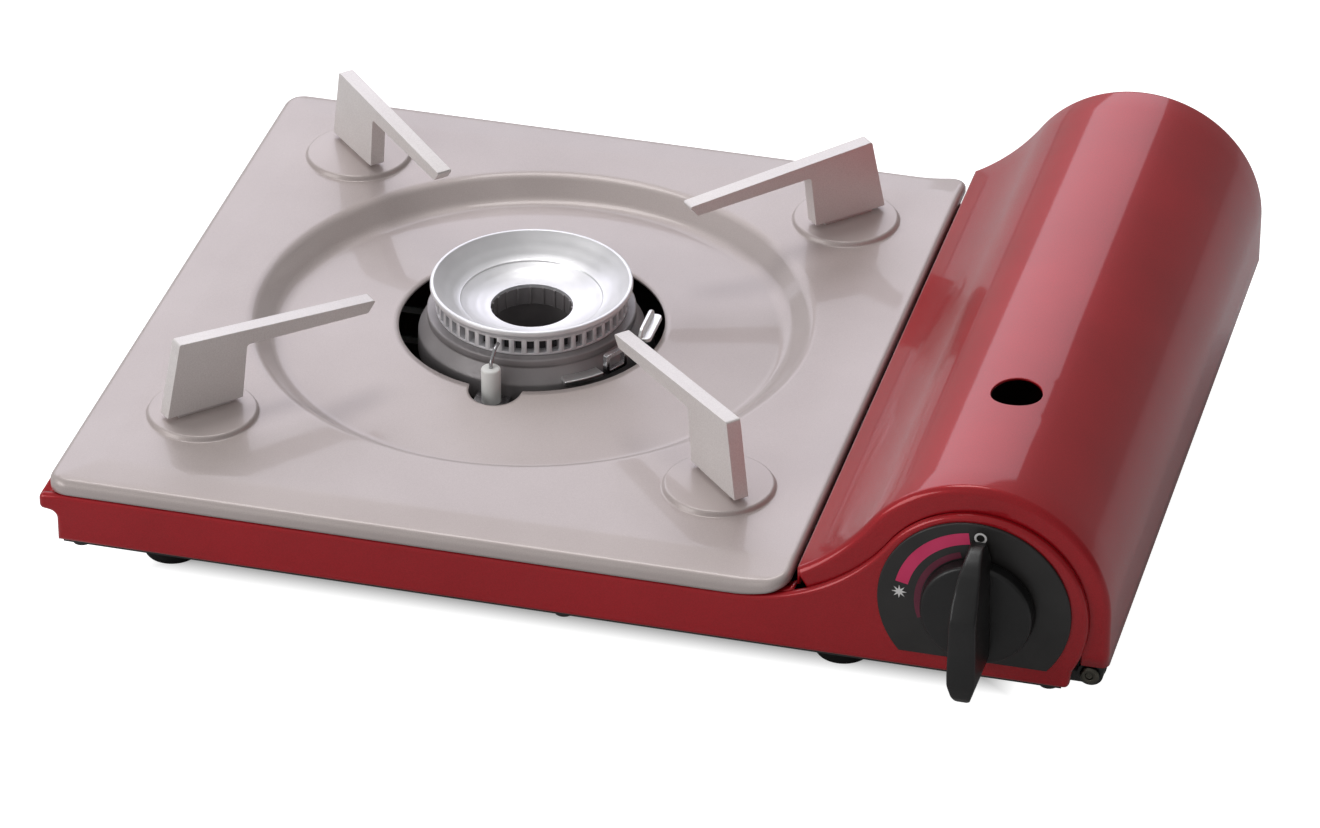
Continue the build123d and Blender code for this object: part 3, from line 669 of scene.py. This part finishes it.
def pot_supports():
    """Upright plates: a broad leg on the boss, a crest, and an arm that slopes to the burner."""
    crest_r, crest_h = 125.0, 28.0
    tip_r, tip_h = 56.6, 23.6
    knee_r = 101.9
    arm_h = 5.3
    foot_h = 2.9
    under = tip_h + (crest_h - tip_h) / (crest_r - tip_r) * (knee_r - tip_r) - arm_h
    outline = rounded([(130.2, foot_h), (crest_r, crest_h, 0.8), (tip_r, tip_h, 0.6),
                       (tip_r + 3, tip_h - 3.9, 0.8), (knee_r, under, 1.2), (104.1, foot_h)],
                      closed=True, steps=4)
    tab_low, tab_high = boss_rise - 2.4, foot_h + 0.3
    tab = [Vector(p) for p in ((108, tab_low), (126, tab_low), (126, tab_high), (108, tab_high))]
    angles = {"front_right": -45, "rear_right": 45, "rear_left": 135, "front_left": 225}
    for name, deg in angles.items():
        a = radians(deg)
        b = Build()
        for line, half in ((outline, 2.5), (tab, 1.45)):
            b.block([[polar(a, p.x, pan_top + p.y, side) for p in line] for side in (-half, half)])
        b.make(f"pot_support_{name}_shown", coating, "pan", [f"pot_support_{name}"],
               bevel=0.45)


# -------- cartridge cover
def cover_line(gap=0.0, cells=96):
    line = s_curve(crest_x, crest_z, crest, hollow, cover_left, 0.0, cells)
    line += [Vector((crest_x + crest, crest_z - (crest_z - cover_foot) * k / 4)) for k in range(1, 5)]
    return inset(line, -gap, False) if gap else line


def cover_top(x):
    return crest_z + sqrt(crest**2 - (x - crest_x) ** 2)


def cover_end(y, inward):
    """Lines of an end rim, from its inner edge out to the skin."""
    edge = 2.6
    flat = rim_w - 0.5
    rim = [(rim_w, 0.6), (flat, 0.0)] + [(edge + (flat - edge) * k / 3, 0.0) for k in (2, 1, 0)]
    for k in range(1, 8):
        turn = pi / 2 * k / 7
        rim.append((edge * (1 - sin(turn)), edge * (1 - cos(turn))))
    return [[(p.x, y + inward * depth, p.y) for p in cover_line(gap)] for gap, depth in rim]


def window_rings(spots):
    """Rings on the skin from the round window out towards a square of points."""
    rings = []
    for share in (0.0, 0.03, 0.12, 0.3, 0.6):
        ring = []
        for x, y, _ in spots:
            a = atan2(y - hole_y, x - hole_x)
            hx = hole_x + hole_r * cos(a)
            hy = hole_y + hole_r * sin(a)
            nx = hx + (x - hx) * share
            ring.append((nx, hy + (y - hy) * share, cover_top(nx)))
        rings.append(ring)
    return rings


def cartridge_cover():
    b = Build()
    line = cover_line()
    half = 13.0  # half the square of skin that holds the window
    cells = 16
    inside = [i for i, p in enumerate(line) if abs(p.x - hole_x) < half and p.y > crest_z]
    first, last = inside[0] - 1, inside[-1] + 1
    front_end = cover_end(cover_front, 1)
    back_end = cover_end(cover_back, -1)
    ahead = [cover_front + 12, cover_front + 30, hole_y - half]
    across = [hole_y - half + 2 * half * k / cells for k in range(1, cells)]
    behind = [hole_y + half, -30, 0, 30, 60, 90, cover_back - 12]
    skin = [[(p.x, y, p.y) for p in line] for y in ahead + across + behind]
    made = [b.row(points) for points in front_end + skin + back_end[::-1]]
    y_first = len(front_end) + len(ahead) - 1
    y_last = y_first + cells
    for k, (one, two) in enumerate(zip(made, made[1:])):
        for i in range(len(line) - 1):
            if y_first <= k < y_last and first <= i < last:
                continue
            b.faces.append((one[i], one[i + 1], two[i + 1], two[i]))
    border = [made[y_first][i] for i in range(first, last)]
    border += [made[k][last] for k in range(y_first, y_last)]
    border += [made[y_last][i] for i in range(last, first, -1)]
    border += [made[k][first] for k in range(y_last, y_first, -1)]
    loops = b.rows(window_rings([b.points[i] for i in border]))
    b.bridge(loops[-1], border)
    hem = [Vector((cover_left, line[0].y - 0.1)), Vector((cover_left, 40.8))]
    b.drawn(hem, cover_front + 1.5, cover_back - 1.5)
    b.make("cartridge_cover_shown", red, "cover", ["cartridge_cover"],
           facing=(crest_x, 0, -20), thick=sheet, sharp=50)


# -------- body
def lip_line():
    """Section of the left wall from its foot up to the rolled lip and over it to the rim."""
    lip = body_left - 5.5
    return rounded([(body_left, panel_foot), (body_left, 29.6, 2.6), (lip, 30.4, 1.6), (lip, 35.6, 1.8),
                    (body_left + 2.0, rim_z)], steps=6)


def panel_rim():
    """Top edge of the front panel: along the pan's skirt and over the arch."""
    line = s_curve(panel_crest_x, panel_crest_z, panel_crest, panel_hollow, panel_left, -30.0, 80)
    rise = (line[0].y - rim_z) * 0.4
    return [Vector((middle_x, rim_z)), Vector((panel_left - 3.0, rim_z + rise))] + line


def front_panel_outline():
    """Up the left wall and over its lip, along the rim, over the arch and down to the lower right."""
    rim = panel_rim()
    foot = rounded([rim[-1][:], (wall_right + 1.6, panel_foot + 6.0, 8.0),
                    (wall_right + 0.8, panel_foot, 1.8), (wall_right - 5.8, panel_foot)], steps=5)
    return lip_line() + rim + foot[1:] + [Vector((middle_x, panel_foot))]


def rear_wall_outline():
    """Rear wall with the same lip at its left end, lower where the cover stands behind it."""
    low = 32.8
    step_x = wall_right - 2.0
    right = rounded([(panel_left - 1.5, rim_z), (panel_left + 0.5, low, 1.6), (step_x, low, 1.6),
                     (step_x, right_top), (wall_right, right_top), (wall_right, panel_foot)], steps=4)
    return lip_line() + [Vector((middle_x, rim_z))] + right + [Vector((middle_x, panel_foot))]


def body_sheets(b):
    """Side walls, the flanges at the floor and the rim, and the ledge inside the front panel."""
    y0, y1 = front + 1.9, back - 1.9
    hinge_end = hinge_low.y + 8.0
    inner = body_left + 2.0
    b.drawn(lip_line(), y0, y1)
    b.level(inner, body_left + 5.0, y0, y1, rim_z)
    b.level(body_left, body_left + 11, y0, y1, panel_foot)
    b.level(wall_right - 10.8, wall_right - 4.0, y0, y1, panel_foot)
    b.level(wall_right - 4.0, wall_right - 1.0, hinge_end, y1, panel_foot)
    b.level(inner, panel_left - 4, y1, y1 - 4.0, rim_z)
    b.level(inner, wall_right - 2.0, y0, y0 + 9.0, panel_foot)
    b.level(inner, wall_right - 1.0, y1, y1 - 9.0, panel_foot)
    ledge = [Vector((inner, rim_z))] + [p for p in panel_rim() if p.x < pan_right + 1.6]
    b.drawn(ledge, y0, y0 + 5.5)
    right = [(wall_right, right_top), (wall_right, panel_foot, 1.0), (wall_right - 1.0, panel_foot)]
    b.drawn(rounded(right, steps=4), hinge_end, y1)


def body_shell():
    b = Build()
    edge = 1.5
    depth = 2.2
    for outline, face, inward in ((front_panel_outline(), front, 1), (rear_wall_outline(), back, -1)):
        lines = rounded_slab(outline[::-1], 0.0, depth, edge)
        made = b.rows([[(x, face + inward * y, z) for x, y, z in line] for line in lines])
        b.cap(made[0])
    body_sheets(b)
    b.make("body_shell_shown", red, "base", ["body_shell"],
           facing=(middle_x, 0, 29), thick=0.7, sharp=40)


# -------- control
def control_plate():
    low, high = span("control_plate")
    cx = (low.x + high.x) / 2
    r = (high.x - low.x) / 2
    cz = high.z - r
    foot = degrees(asin((low.z - cz) / r))
    b = Build()
    made = b.rows(rounded_slab(arc(cx, cz, r, foot, 180 - foot, 96), low.y, high.y, 0.45))
    b.cap(made[0])
    b.cap(made[-1][::-1])
    b.make("control_plate_shown", plate_plastic, "base", ["control_plate"])
    face = low.y - print_t
    root = low.y + 0.2
    for name, r0, r1, a0, a1, material in (("mark_arc", 22.0, 25.9, 98, 168, print_rose),
                                           ("mark_arc_inner", 17.6, 19.6, 108, 200, print_wine)):
        band = arc(knob_x, knob_z, r1, a0, a1, 40) + arc(knob_x, knob_z, r0, a1, a0, 40)
        b = Build()
        b.block(slab_lines(band, face, root))
        b.make(name, material, "base")
    off_sign(face, root)
    ignition_sign(face, root)


def off_sign(face, root):
    """A plain ring above the knob."""
    b = Build()
    ring, hole = [arc(knob_x, knob_z + 24.4, r, 0, 360, 32)[:-1] for r in (1.9, 1.25)]
    sides = ((ring, root), (ring, face), (hole, face), (hole, root))
    rows = [b.row([(p.x, y, p.y) for p in line]) for line, y in sides]
    for one, two in zip(rows, rows[1:] + rows[:1]):
        b.bridge(one, two)
    b.make("mark_off", print_white, "base")


def ignition_sign(face, root):
    """A spark with eight points, to the knob's left."""
    b = Build()
    away = 24.2
    a = radians(176)
    x, z = knob_x + away * cos(a), knob_z + away * sin(a)
    star = []
    for k in range(16):
        r = 2.3 if k % 2 == 0 else 0.9
        star.append(Vector((x + r * cos(2 * pi * k / 16), z + r * sin(2 * pi * k / 16))))
    b.block(slab_lines(star, face, root))
    b.make("mark_ignition", print_white, "base")


def along(table, t):
    """Value at t in a table of (place, value) rows, on straight lines between them."""
    if t <= table[0][0]:
        return table[0][1]
    for (a, value), (c, next_value) in zip(table, table[1:]):
        if t <= c:
            return value + (next_value - value) * (t - a) / (c - a)
    return table[-1][1]


def knob():
    """A flat skirt with a grip across it that stands far out in the middle."""
    b = Build()
    back_y = knob_high.y
    skirt_r = (knob_high.x - knob_low.x) / 2
    skirt_t = 4.4
    profile = rounded([(3.0, 0.0), (skirt_r, 0.0, 0.3), (skirt_r - 0.4, skirt_t, 1.3), (0.3, skirt_t)],
                      steps=5)
    made = b.turned(profile, 112, closed=False,
                    to_3d=lambda p: (knob_x + p[0], back_y - p[2], knob_z + p[1]))
    b.cap(made[-1])
    low, high = -21.0, 24.5
    half_width = [(low, 2.1), (-19.8, 2.7), (-13, 4.7), (-10, 4.8), (14, 4.4), (20, 3.6), (high, 2.2)]
    reach = [(low, 18.6), (-20.0, 20.4), (-17.5, 22.6), (-14, 23.3), (7, 23.3), (9.5, 22.9), (12, 21.6),
             (17, 18.0), (20, 14.8), (22.5, 10.8), (high, 5.5)]
    root = 1.5  # the grip starts inside the skirt
    steps = 60
    lines = []
    for k in range(steps + 1):
        z = low + (high - low) * k / steps
        w = along(half_width, z)
        deep = along(reach, z)
        tip = 0.9 * w
        section = rounded([(-w, root), (-tip, deep, 0.9), (tip, deep, 0.9), (w, root)], steps=4)
        lines.append([(knob_x + p.x, back_y - p.y, knob_z + z) for p in section])
    b.block(lines)
    b.make("knob_shown", black_plastic, "knob", ["knob"], sharp=24)


# -------- burner
def bowl_line():
    """Section of the head's bowl, from its air hole to its rim, with a small step half-way."""
    step_r = 22.6
    step_h = 0.35
    bowl = bent(Vector((air_r, seat_z)), Vector((22.4, 48.3)), Vector((30.7, 54.6)), 12)
    line = [Vector((air_r, seat_z - 0.2))]
    for p in bowl:
        line.append(p)
        if step_r - 1.8 <= p.x < step_r:
            foot = p.y + (step_r - p.x) * 0.5
            line += [Vector((step_r, foot)), Vector((step_r + 0.12, foot + step_h))]
    return line


def burner_head():
    """Turned bowl over a ring of flame slots."""
    top = span("burner_head")[1].z
    count = 192
    out_r = 30.5  # outside of the slotted ring
    in_r = 27.6
    b = Build()
    rim = rounded([(30.7, 54.6), (31.1, top, 0.35), (32.2, top, 0.5), (32.2, 53.5, 0.5), (30.6, 51.9, 0.6),
                   (out_r, 50.9), (27.4, 50.9)], steps=4)
    under = [(27.4, 50.4), (21.6, 46.2), (15.5, 43.6), (15.5, 38.5), (air_r, 38.5)]
    b.turned([(p.x, p.y) for p in bowl_line() + rim[1:]] + under, count)
    ring = rounded([(in_r, 45.7), (out_r, 45.7, 0.2), (out_r, 46.6, 0.25), (in_r, 46.6)], steps=2)
    b.turned([(p.x, p.y) for p in ring], count)
    slots = 48
    slot_w = 2.4
    half = pi / slots - slot_w / 2 / out_r
    tooth = ((in_r, -1), (out_r - 0.05, -1), (out_r + 0.1, -0.4), (out_r + 0.1, 0.4), (out_r - 0.05, 1),
             (in_r, 1))
    for k in range(slots):
        a = 2 * pi * (k + 0.5) / slots
        b.block([[polar(a + sign * half, r, z) for r, sign in tooth] for z in (46.4, 51.4)])
    b.make("burner_head_shown", turned_alu, "base", ["burner_head"], sharp=30)


def burner_bore():
    """The head's inside: ribs down the air hole, and a near-black band behind the slots that is painted
    shade for the gas chamber.
    """
    low = 38.6
    ribs = 20
    half = 0.045  # half a rib, in radians
    section = ((air_r + 0.3, -1), (air_r - 0.55, -0.6), (air_r - 0.55, 0.6), (air_r + 0.3, 1))
    b = Build()
    for k in range(ribs):
        a = 2 * pi * k / ribs
        b.block([[polar(a + side * half, r, z) for r, side in section] for z in (low, seat_z - 1.0)])
    inner, outer = air_r - 0.04, air_r + 0.2
    b.turned([(inner, low), (inner, seat_z - 1.2), (outer, seat_z - 1.2), (outer, low)], 96)
    b.make("burner_head_bore", cast, "base", sharp=30)
    # painted shade: a near-black band where the gas chamber behind the slots lies in shadow
    chamber = Build()
    chamber.turned([(27.3, 45.8), (27.7, 45.8), (27.7, 50.8), (27.3, 50.8)], 96)
    chamber.make("burner_head_chamber_shade", slot_shade, "base", sharp=30)


def burner_base():
    """Cast trough under the head: a machined flange over a flared, rough body."""
    b = Build()
    low = 16.4
    in_r, wall_r, flange_r = 15.8, 18.0, 33.3
    profile = rounded([(in_r, low), (28.0, low, 1.0), (31.0, low + 2.6, 1.5), (base_r, 31.0, 3.0),
                       (base_r - 0.2, 38.0, 2.0), (32.9, 42.6, 0.8), (flange_r, 43.4, 0.3),
                       (flange_r, seat_z, 0.6), (27.7, seat_z, 0.3), (25.4, low + 3.6, 1.0),
                       (23.5, low + 2, 0.6), (wall_r, low + 2, 0.6), (wall_r, 43.0, 0.5), (in_r, 43.0, 0.5)],
                      closed=True, steps=4)
    b.turned([(p.x, p.y) for p in profile], 160)
    b.make("burner_base_shown", cast, "base", sharp=35)


def base_ledge():
    """A machined ledge on the base's flank, beside the heat clip."""
    low, high = 38.6, 40.2
    inner, outer = base_r - 1.5, base_r + 2.7
    b = Build()
    lines = []
    for r, z in ((inner, low), (outer, low), (outer, high), (inner, high)):
        lines.append([polar(radians(deg), r, z) for deg in range(-59, -37, 2)])
    made = b.rows(lines, closed=False)
    b.bridge(made[-1], made[0], closed=False)
    b.cap([row[0] for row in made])
    b.cap([row[-1] for row in made][::-1])
    b.make("burner_base_ledge", strip_alu, "base", ["burner_base"], bevel=0.35)


def tube_socket():
    """A round boss that takes the end of the mixing tube."""
    way = radians(tube_deg)
    tube_z = 24.8
    b = Build()
    rings = []
    for distance, r in ((30.0, 8.6), (40.4, 8.6), (41.0, 8.1), (41.0, 6.8), (34.0, 6.8)):
        turns = [2 * pi * k / 40 for k in range(40)]
        rings.append([polar(way, distance, tube_z + r * sin(a), r * cos(a)) for a in turns])
    b.rows(rings)
    b.make("burner_base_socket", cast, "base", facing=polar(way, 35.5, tube_z))


def electrode():
    low, high = span("electrode_insulator")
    cx, cy = (low.x + high.x) / 2, (low.y + high.y) / 2
    b = Build()
    bore_r, tube_r, collar_r = 0.72, 3.1, 4.2
    profile = rounded([(bore_r, high.z), (tube_r, high.z, 0.7), (tube_r, 33.0, 0.3), (collar_r, 33.0, 0.5),
                       (collar_r, 29.0, 0.5), (tube_r, 29.0, 0.3), (tube_r, low.z, 0.4), (bore_r, low.z)],
                      closed=True, steps=3)
    b.turned([(p.x, p.y) for p in profile], 48, (cx, cy))
    b.make("electrode_insulator_shown", ceramic, "base", ["electrode_insulator"])


def heat_panel():
    """Bright aluminium strip: it rises beside the burner, hooks outwards and warms the cartridge."""
    low, high = span("heat_panel")
    x0 = base_r + 0.5
    sheet_t = 1.4
    foot = 18.4
    hook_x = 41.0
    half = (high.y - low.y) / 2
    b = Build()
    riser = rounded([(-half, foot + 0.8), (-half, high.z, 3.0), (half, high.z, 3.0), (half, foot + 0.8)],
                    closed=True, steps=5)
    b.block([[(x, p.x, p.y) for p in riser] for x in (x0, x0 + sheet_t)])
    hook = rounded([(x0 + 0.7, -half), (hook_x, -half, 2.0), (hook_x, half, 2.0), (x0 + 0.7, half)],
                   closed=True, steps=5)
    b.block([[(p.x, p.y, z) for p in hook] for z in (42.6, 42.6 + sheet_t)])
    b.make("heat_panel_riser", strip_alu, "base", bevel=0.4)
    strip = Build()
    can_x, can_z = 173.0, 45.5  # the cartridge's axis
    outer_r = 35.5
    start, stop = -126.0, -78.0
    outer = arc(can_x, can_z, outer_r, start, stop, 16)
    inner = arc(can_x, can_z, outer_r - sheet_t, stop, start, 16)
    profile = [Vector((x0, foot)), Vector((outer[0].x - 4, foot))] + outer + inner
    profile += [Vector((inner[-1].x - 4, foot + sheet_t)), Vector((x0, foot + sheet_t))]
    strip.block(slab_lines(profile, -half, half))
    strip.make("heat_panel_strip", strip_alu, "base", ["heat_panel"], bevel=0.3)


def heat_clip():
    """Square clip with an open window, on the base's flank."""
    way = radians(tube_deg)
    low, high = 38.1, 45.1
    b = Build()
    rows = []
    for depth in (0.0, 2.0):
        for half, z0, z1, r in ((4.5, low, high, 0.6), (3.1, low + 1.4, high - 1.4, 0.4)):
            line = rounded([(-half, z0, r), (half, z0, r), (half, z1, r), (-half, z1, r)],
                           closed=True, steps=2)
            rows.append(b.row([polar(way, base_r + depth, p.y, p.x) for p in line]))
    outer_in, window_in, outer_out, window_out = rows
    b.bridge(outer_in, outer_out)
    b.bridge(window_out, window_in)
    b.bridge(outer_out, window_out)
    b.bridge(window_in, outer_in)
    b.make("heat_clip_shown", bright, "base", ["heat_clip"], bevel=0.25)


def hinge_plate():
    """Broad ear of the front hinge bracket, seen in the corner beside the front panel."""
    x, z = (hinge_low.x + hinge_high.x) / 2, (hinge_low.z + hinge_high.z) / 2
    left, right = wall_right - 1.0, x + 4.2
    outline = rounded([(left, z + 3.4), (left, z - 5.6), (x + 1.0, z - 5.6, 3.4), (right, z - 1.0, 3.0),
                       (right, z + 3.4, 1.0)], closed=True, steps=5)
    b = Build()
    b.block(slab_lines(outline, hinge_low.y + 4.8, hinge_low.y + 7.2))
    b.make("hinge_bracket_front_ear", black_paint, "base", bevel=0.4)


def hinge_pins():
    """Hollow rivets: a flat head with a rolled ring round a dimple, and a plain shank."""
    for name in ("front", "rear"):
        low, high = span(f"hinge_pin_{name}")
        cx, cz = (low.x + high.x) / 2, (low.z + high.z) / 2
        length = high.y - low.y
        profile = rounded([(0.2, 0.7), (1.0, 0.7, 0.2), (1.3, 0.1, 0.3), (2.2, 0.0, 0.4), (3.0, 0.5, 0.3),
                           (3.0, 1.0), (2.0, 1.0), (2.0, length, 0.4), (0.2, length)], steps=4)
        b = Build()
        made = b.turned(profile, 48, closed=False,
                        to_3d=lambda p: (cx + p[0], low.y + p[2], cz + p[1]))
        b.cap(made[0])
        b.cap(made[-1])
        b.make(f"hinge_pin_{name}_shown", dark_steel, "base", [f"hinge_pin_{name}"])


# -------- feet and kept CAD pieces
def feet():
    for name in ("front_left", "rear_left", "front_right", "rear_right"):
        low, high = span(f"foot_{name}")
        r = (high.x - low.x) / 2
        spot = ((low.x + high.x) / 2, (low.y + high.y) / 2)
        profile = rounded([(0.3, 1.2), (5.6, 1.2, 0.4), (6.2, 0.0, 0.5), (r - 0.3, 0.0, 1.4), (r, 3.0, 0.5),
                           (r - 0.7, 8.6, 0.6), (2.9, 8.6), (2.9, 9.6), (3.8, 9.7, 0.2), (3.4, high.z, 0.4),
                           (0.3, high.z)], steps=4)
        b = Build()
        made = b.turned([(p.x, p.y) for p in profile], 72, spot, closed=False)
        b.cap(made[0])
        b.cap(made[-1])
        b.make(f"foot_{name}_shown", rubber, "base", [f"foot_{name}"])


finishes = {
    "red_lacquer": red, "champagne_enamel": enamel, "support_coating": coating, "black_steel": black_paint,
    "zinc_plate": zinc, "rubber_black": rubber, "plastic_plate": plate_plastic,
    "plastic_black": black_plastic, "cast_aluminium": cast, "sheet_aluminium": strip_alu,
    "steel_bright": bright, "ignition_plastic": natural, "brass": brass, "magnet_black": ferrite,
    "ceramic_white": ceramic, "lead_jacket": silicone,
}


def kept_nodes():
    """CAD pieces shown as they are, with their finish and slightly broken edges."""
    slots = {part["node"]: part["material_slot"] for part in frame["record"]["subparts"]}
    for name, piece in frame["nodes"].items():
        if piece.hide_render:
            continue
        piece.data.materials.clear()
        piece.data.materials.append(finishes[slots[name]])
        weld = piece.modifiers.new("weld", "WELD")
        weld.merge_threshold = 1e-6
        break_edges(piece, 0.15, 2, 40)


# -------- setting
def area_light(name, place, size_x, size_y, power, colour=(1, 1, 1)):
    """A rectangular light that aims at the table's middle, in metres and watts."""
    data = bpy.data.lights.new(name, "AREA")
    data.shape = "RECTANGLE"
    data.size = size_x
    data.size_y = size_y
    data.energy = power
    data.color = colour
    lamp = bpy.data.objects.new(name, data)
    bpy.context.scene.collection.objects.link(lamp)
    lamp.location = place
    lamp.rotation_euler = (-Vector(place)).to_track_quat("-Z", "Y").to_euler()


def seen_apart(tree, around, seen, output):
    """Show one shader to the camera and another to the light that falls on the object."""
    pick = tree.nodes.new("ShaderNodeMixShader")
    path = tree.nodes.new("ShaderNodeLightPath")
    tree.links.new(path.outputs["Is Camera Ray"], pick.inputs["Fac"])
    tree.links.new(around, pick.inputs[1])
    tree.links.new(seen, pick.inputs[2])
    tree.links.new(pick.outputs["Shader"], tree.nodes[output].inputs["Surface"])


def paper_floor(scene):
    """White paper that takes the object's shadow and glows for the camera, except under the body."""
    far = 6.0
    mesh = bpy.data.meshes.new("floor")
    mesh.from_pydata([(-far, -far, 0), (far, -far, 0), (far, far, 0), (-far, far, 0)], [], [(0, 1, 2, 3)])
    floor = bpy.data.objects.new("floor", mesh)
    scene.collection.objects.link(floor)
    s = Shader("paper")
    s.colour(s.blend(s.noise(40, 2), (206, 206, 206), (210, 210, 210)))
    s.put(Roughness=0.9, Specular_IOR_Level=0.0)
    glow = s.node("ShaderNodeEmission")
    s.link(s.between(s.footprint(), 0.0, 0.95, 0.74, 0.84), glow.inputs["Strength"])
    both = s.tree.nodes.new("ShaderNodeAddShader")
    s.link(s.surface.outputs["BSDF"], both.inputs[0])
    s.link(glow.outputs["Emission"], both.inputs[1])
    seen_apart(s.tree, s.surface.outputs["BSDF"], both.outputs["Shader"], "Material Output")
    mesh.materials.append(s.material)


def studio_air(scene):
    """Soft surroundings: brighter above and behind, dim in front; plain white where the camera sees it."""
    world = bpy.data.worlds.new("studio")
    scene.world = world
    world.use_nodes = True
    tree = world.node_tree
    around = tree.nodes["Background"]
    where = tree.nodes.new("ShaderNodeTexCoord")
    parts = tree.nodes.new("ShaderNodeSeparateXYZ")
    tree.links.new(where.outputs["Generated"], parts.inputs["Vector"])
    product = tree.nodes.new("ShaderNodeMath")
    product.operation = "MULTIPLY"
    shares = (("Z", 0.0, 0.9, 0.40, 0.46), ("X", -0.2, 0.9, 1.08, 0.50))
    for k, (axis, start, stop, low, high) in enumerate(shares):
        share = tree.nodes.new("ShaderNodeMapRange")
        for key, value in (("From Min", start), ("From Max", stop), ("To Min", low), ("To Max", high)):
            share.inputs[key].default_value = value
        tree.links.new(parts.outputs[axis], share.inputs["Value"])
        tree.links.new(share.outputs["Result"], product.inputs[k])
    tree.links.new(product.outputs[0], around.inputs["Strength"])
    around.inputs["Color"].default_value = (1.0, 1.0, 1.0, 1.0)
    seen = tree.nodes.new("ShaderNodeBackground")
    seen.inputs["Color"].default_value = (1.0, 1.0, 1.0, 1.0)
    seen_apart(tree, around.outputs["Background"], seen.outputs["Background"], "World Output")


def camera(scene):
    """A long lens, in front of the object and above it, a little to the right."""
    down_deg = 32.15
    side_deg = 14.85
    data = bpy.data.cameras.new("camera")
    data.lens = 182.1
    data.sensor_width = 36.0
    data.clip_end = 50.0
    eye = bpy.data.objects.new("camera", data)
    scene.collection.objects.link(eye)
    eye.location = (0.4576, -1.7241, 1.1442)
    eye.rotation_euler = (radians(90 - down_deg), 0.0, radians(side_deg))
    scene.camera = eye


def setting():
    scene = bpy.context.scene
    paper_floor(scene)
    studio_air(scene)
    area_light("behind", (-0.9, 1.7, 1.15), 2.6, 1.1, 12.5, (0.97, 0.96, 1.1))
    area_light("above", (-0.4, 0.5, 1.6), 0.8, 0.5, 6)
    area_light("front_left", (-1.5, -1.3, 0.8), 1.2, 1.0, 11)
    camera(scene)
    scene.view_settings.view_transform = "Standard"


drip_pan()
pot_supports()
cartridge_cover()
body_shell()
control_plate()
knob()
burner_head()
burner_bore()
burner_base()
base_ledge()
tube_socket()
electrode()
heat_panel()
heat_clip()
hinge_plate()
hinge_pins()
feet()
kept_nodes()
setting()
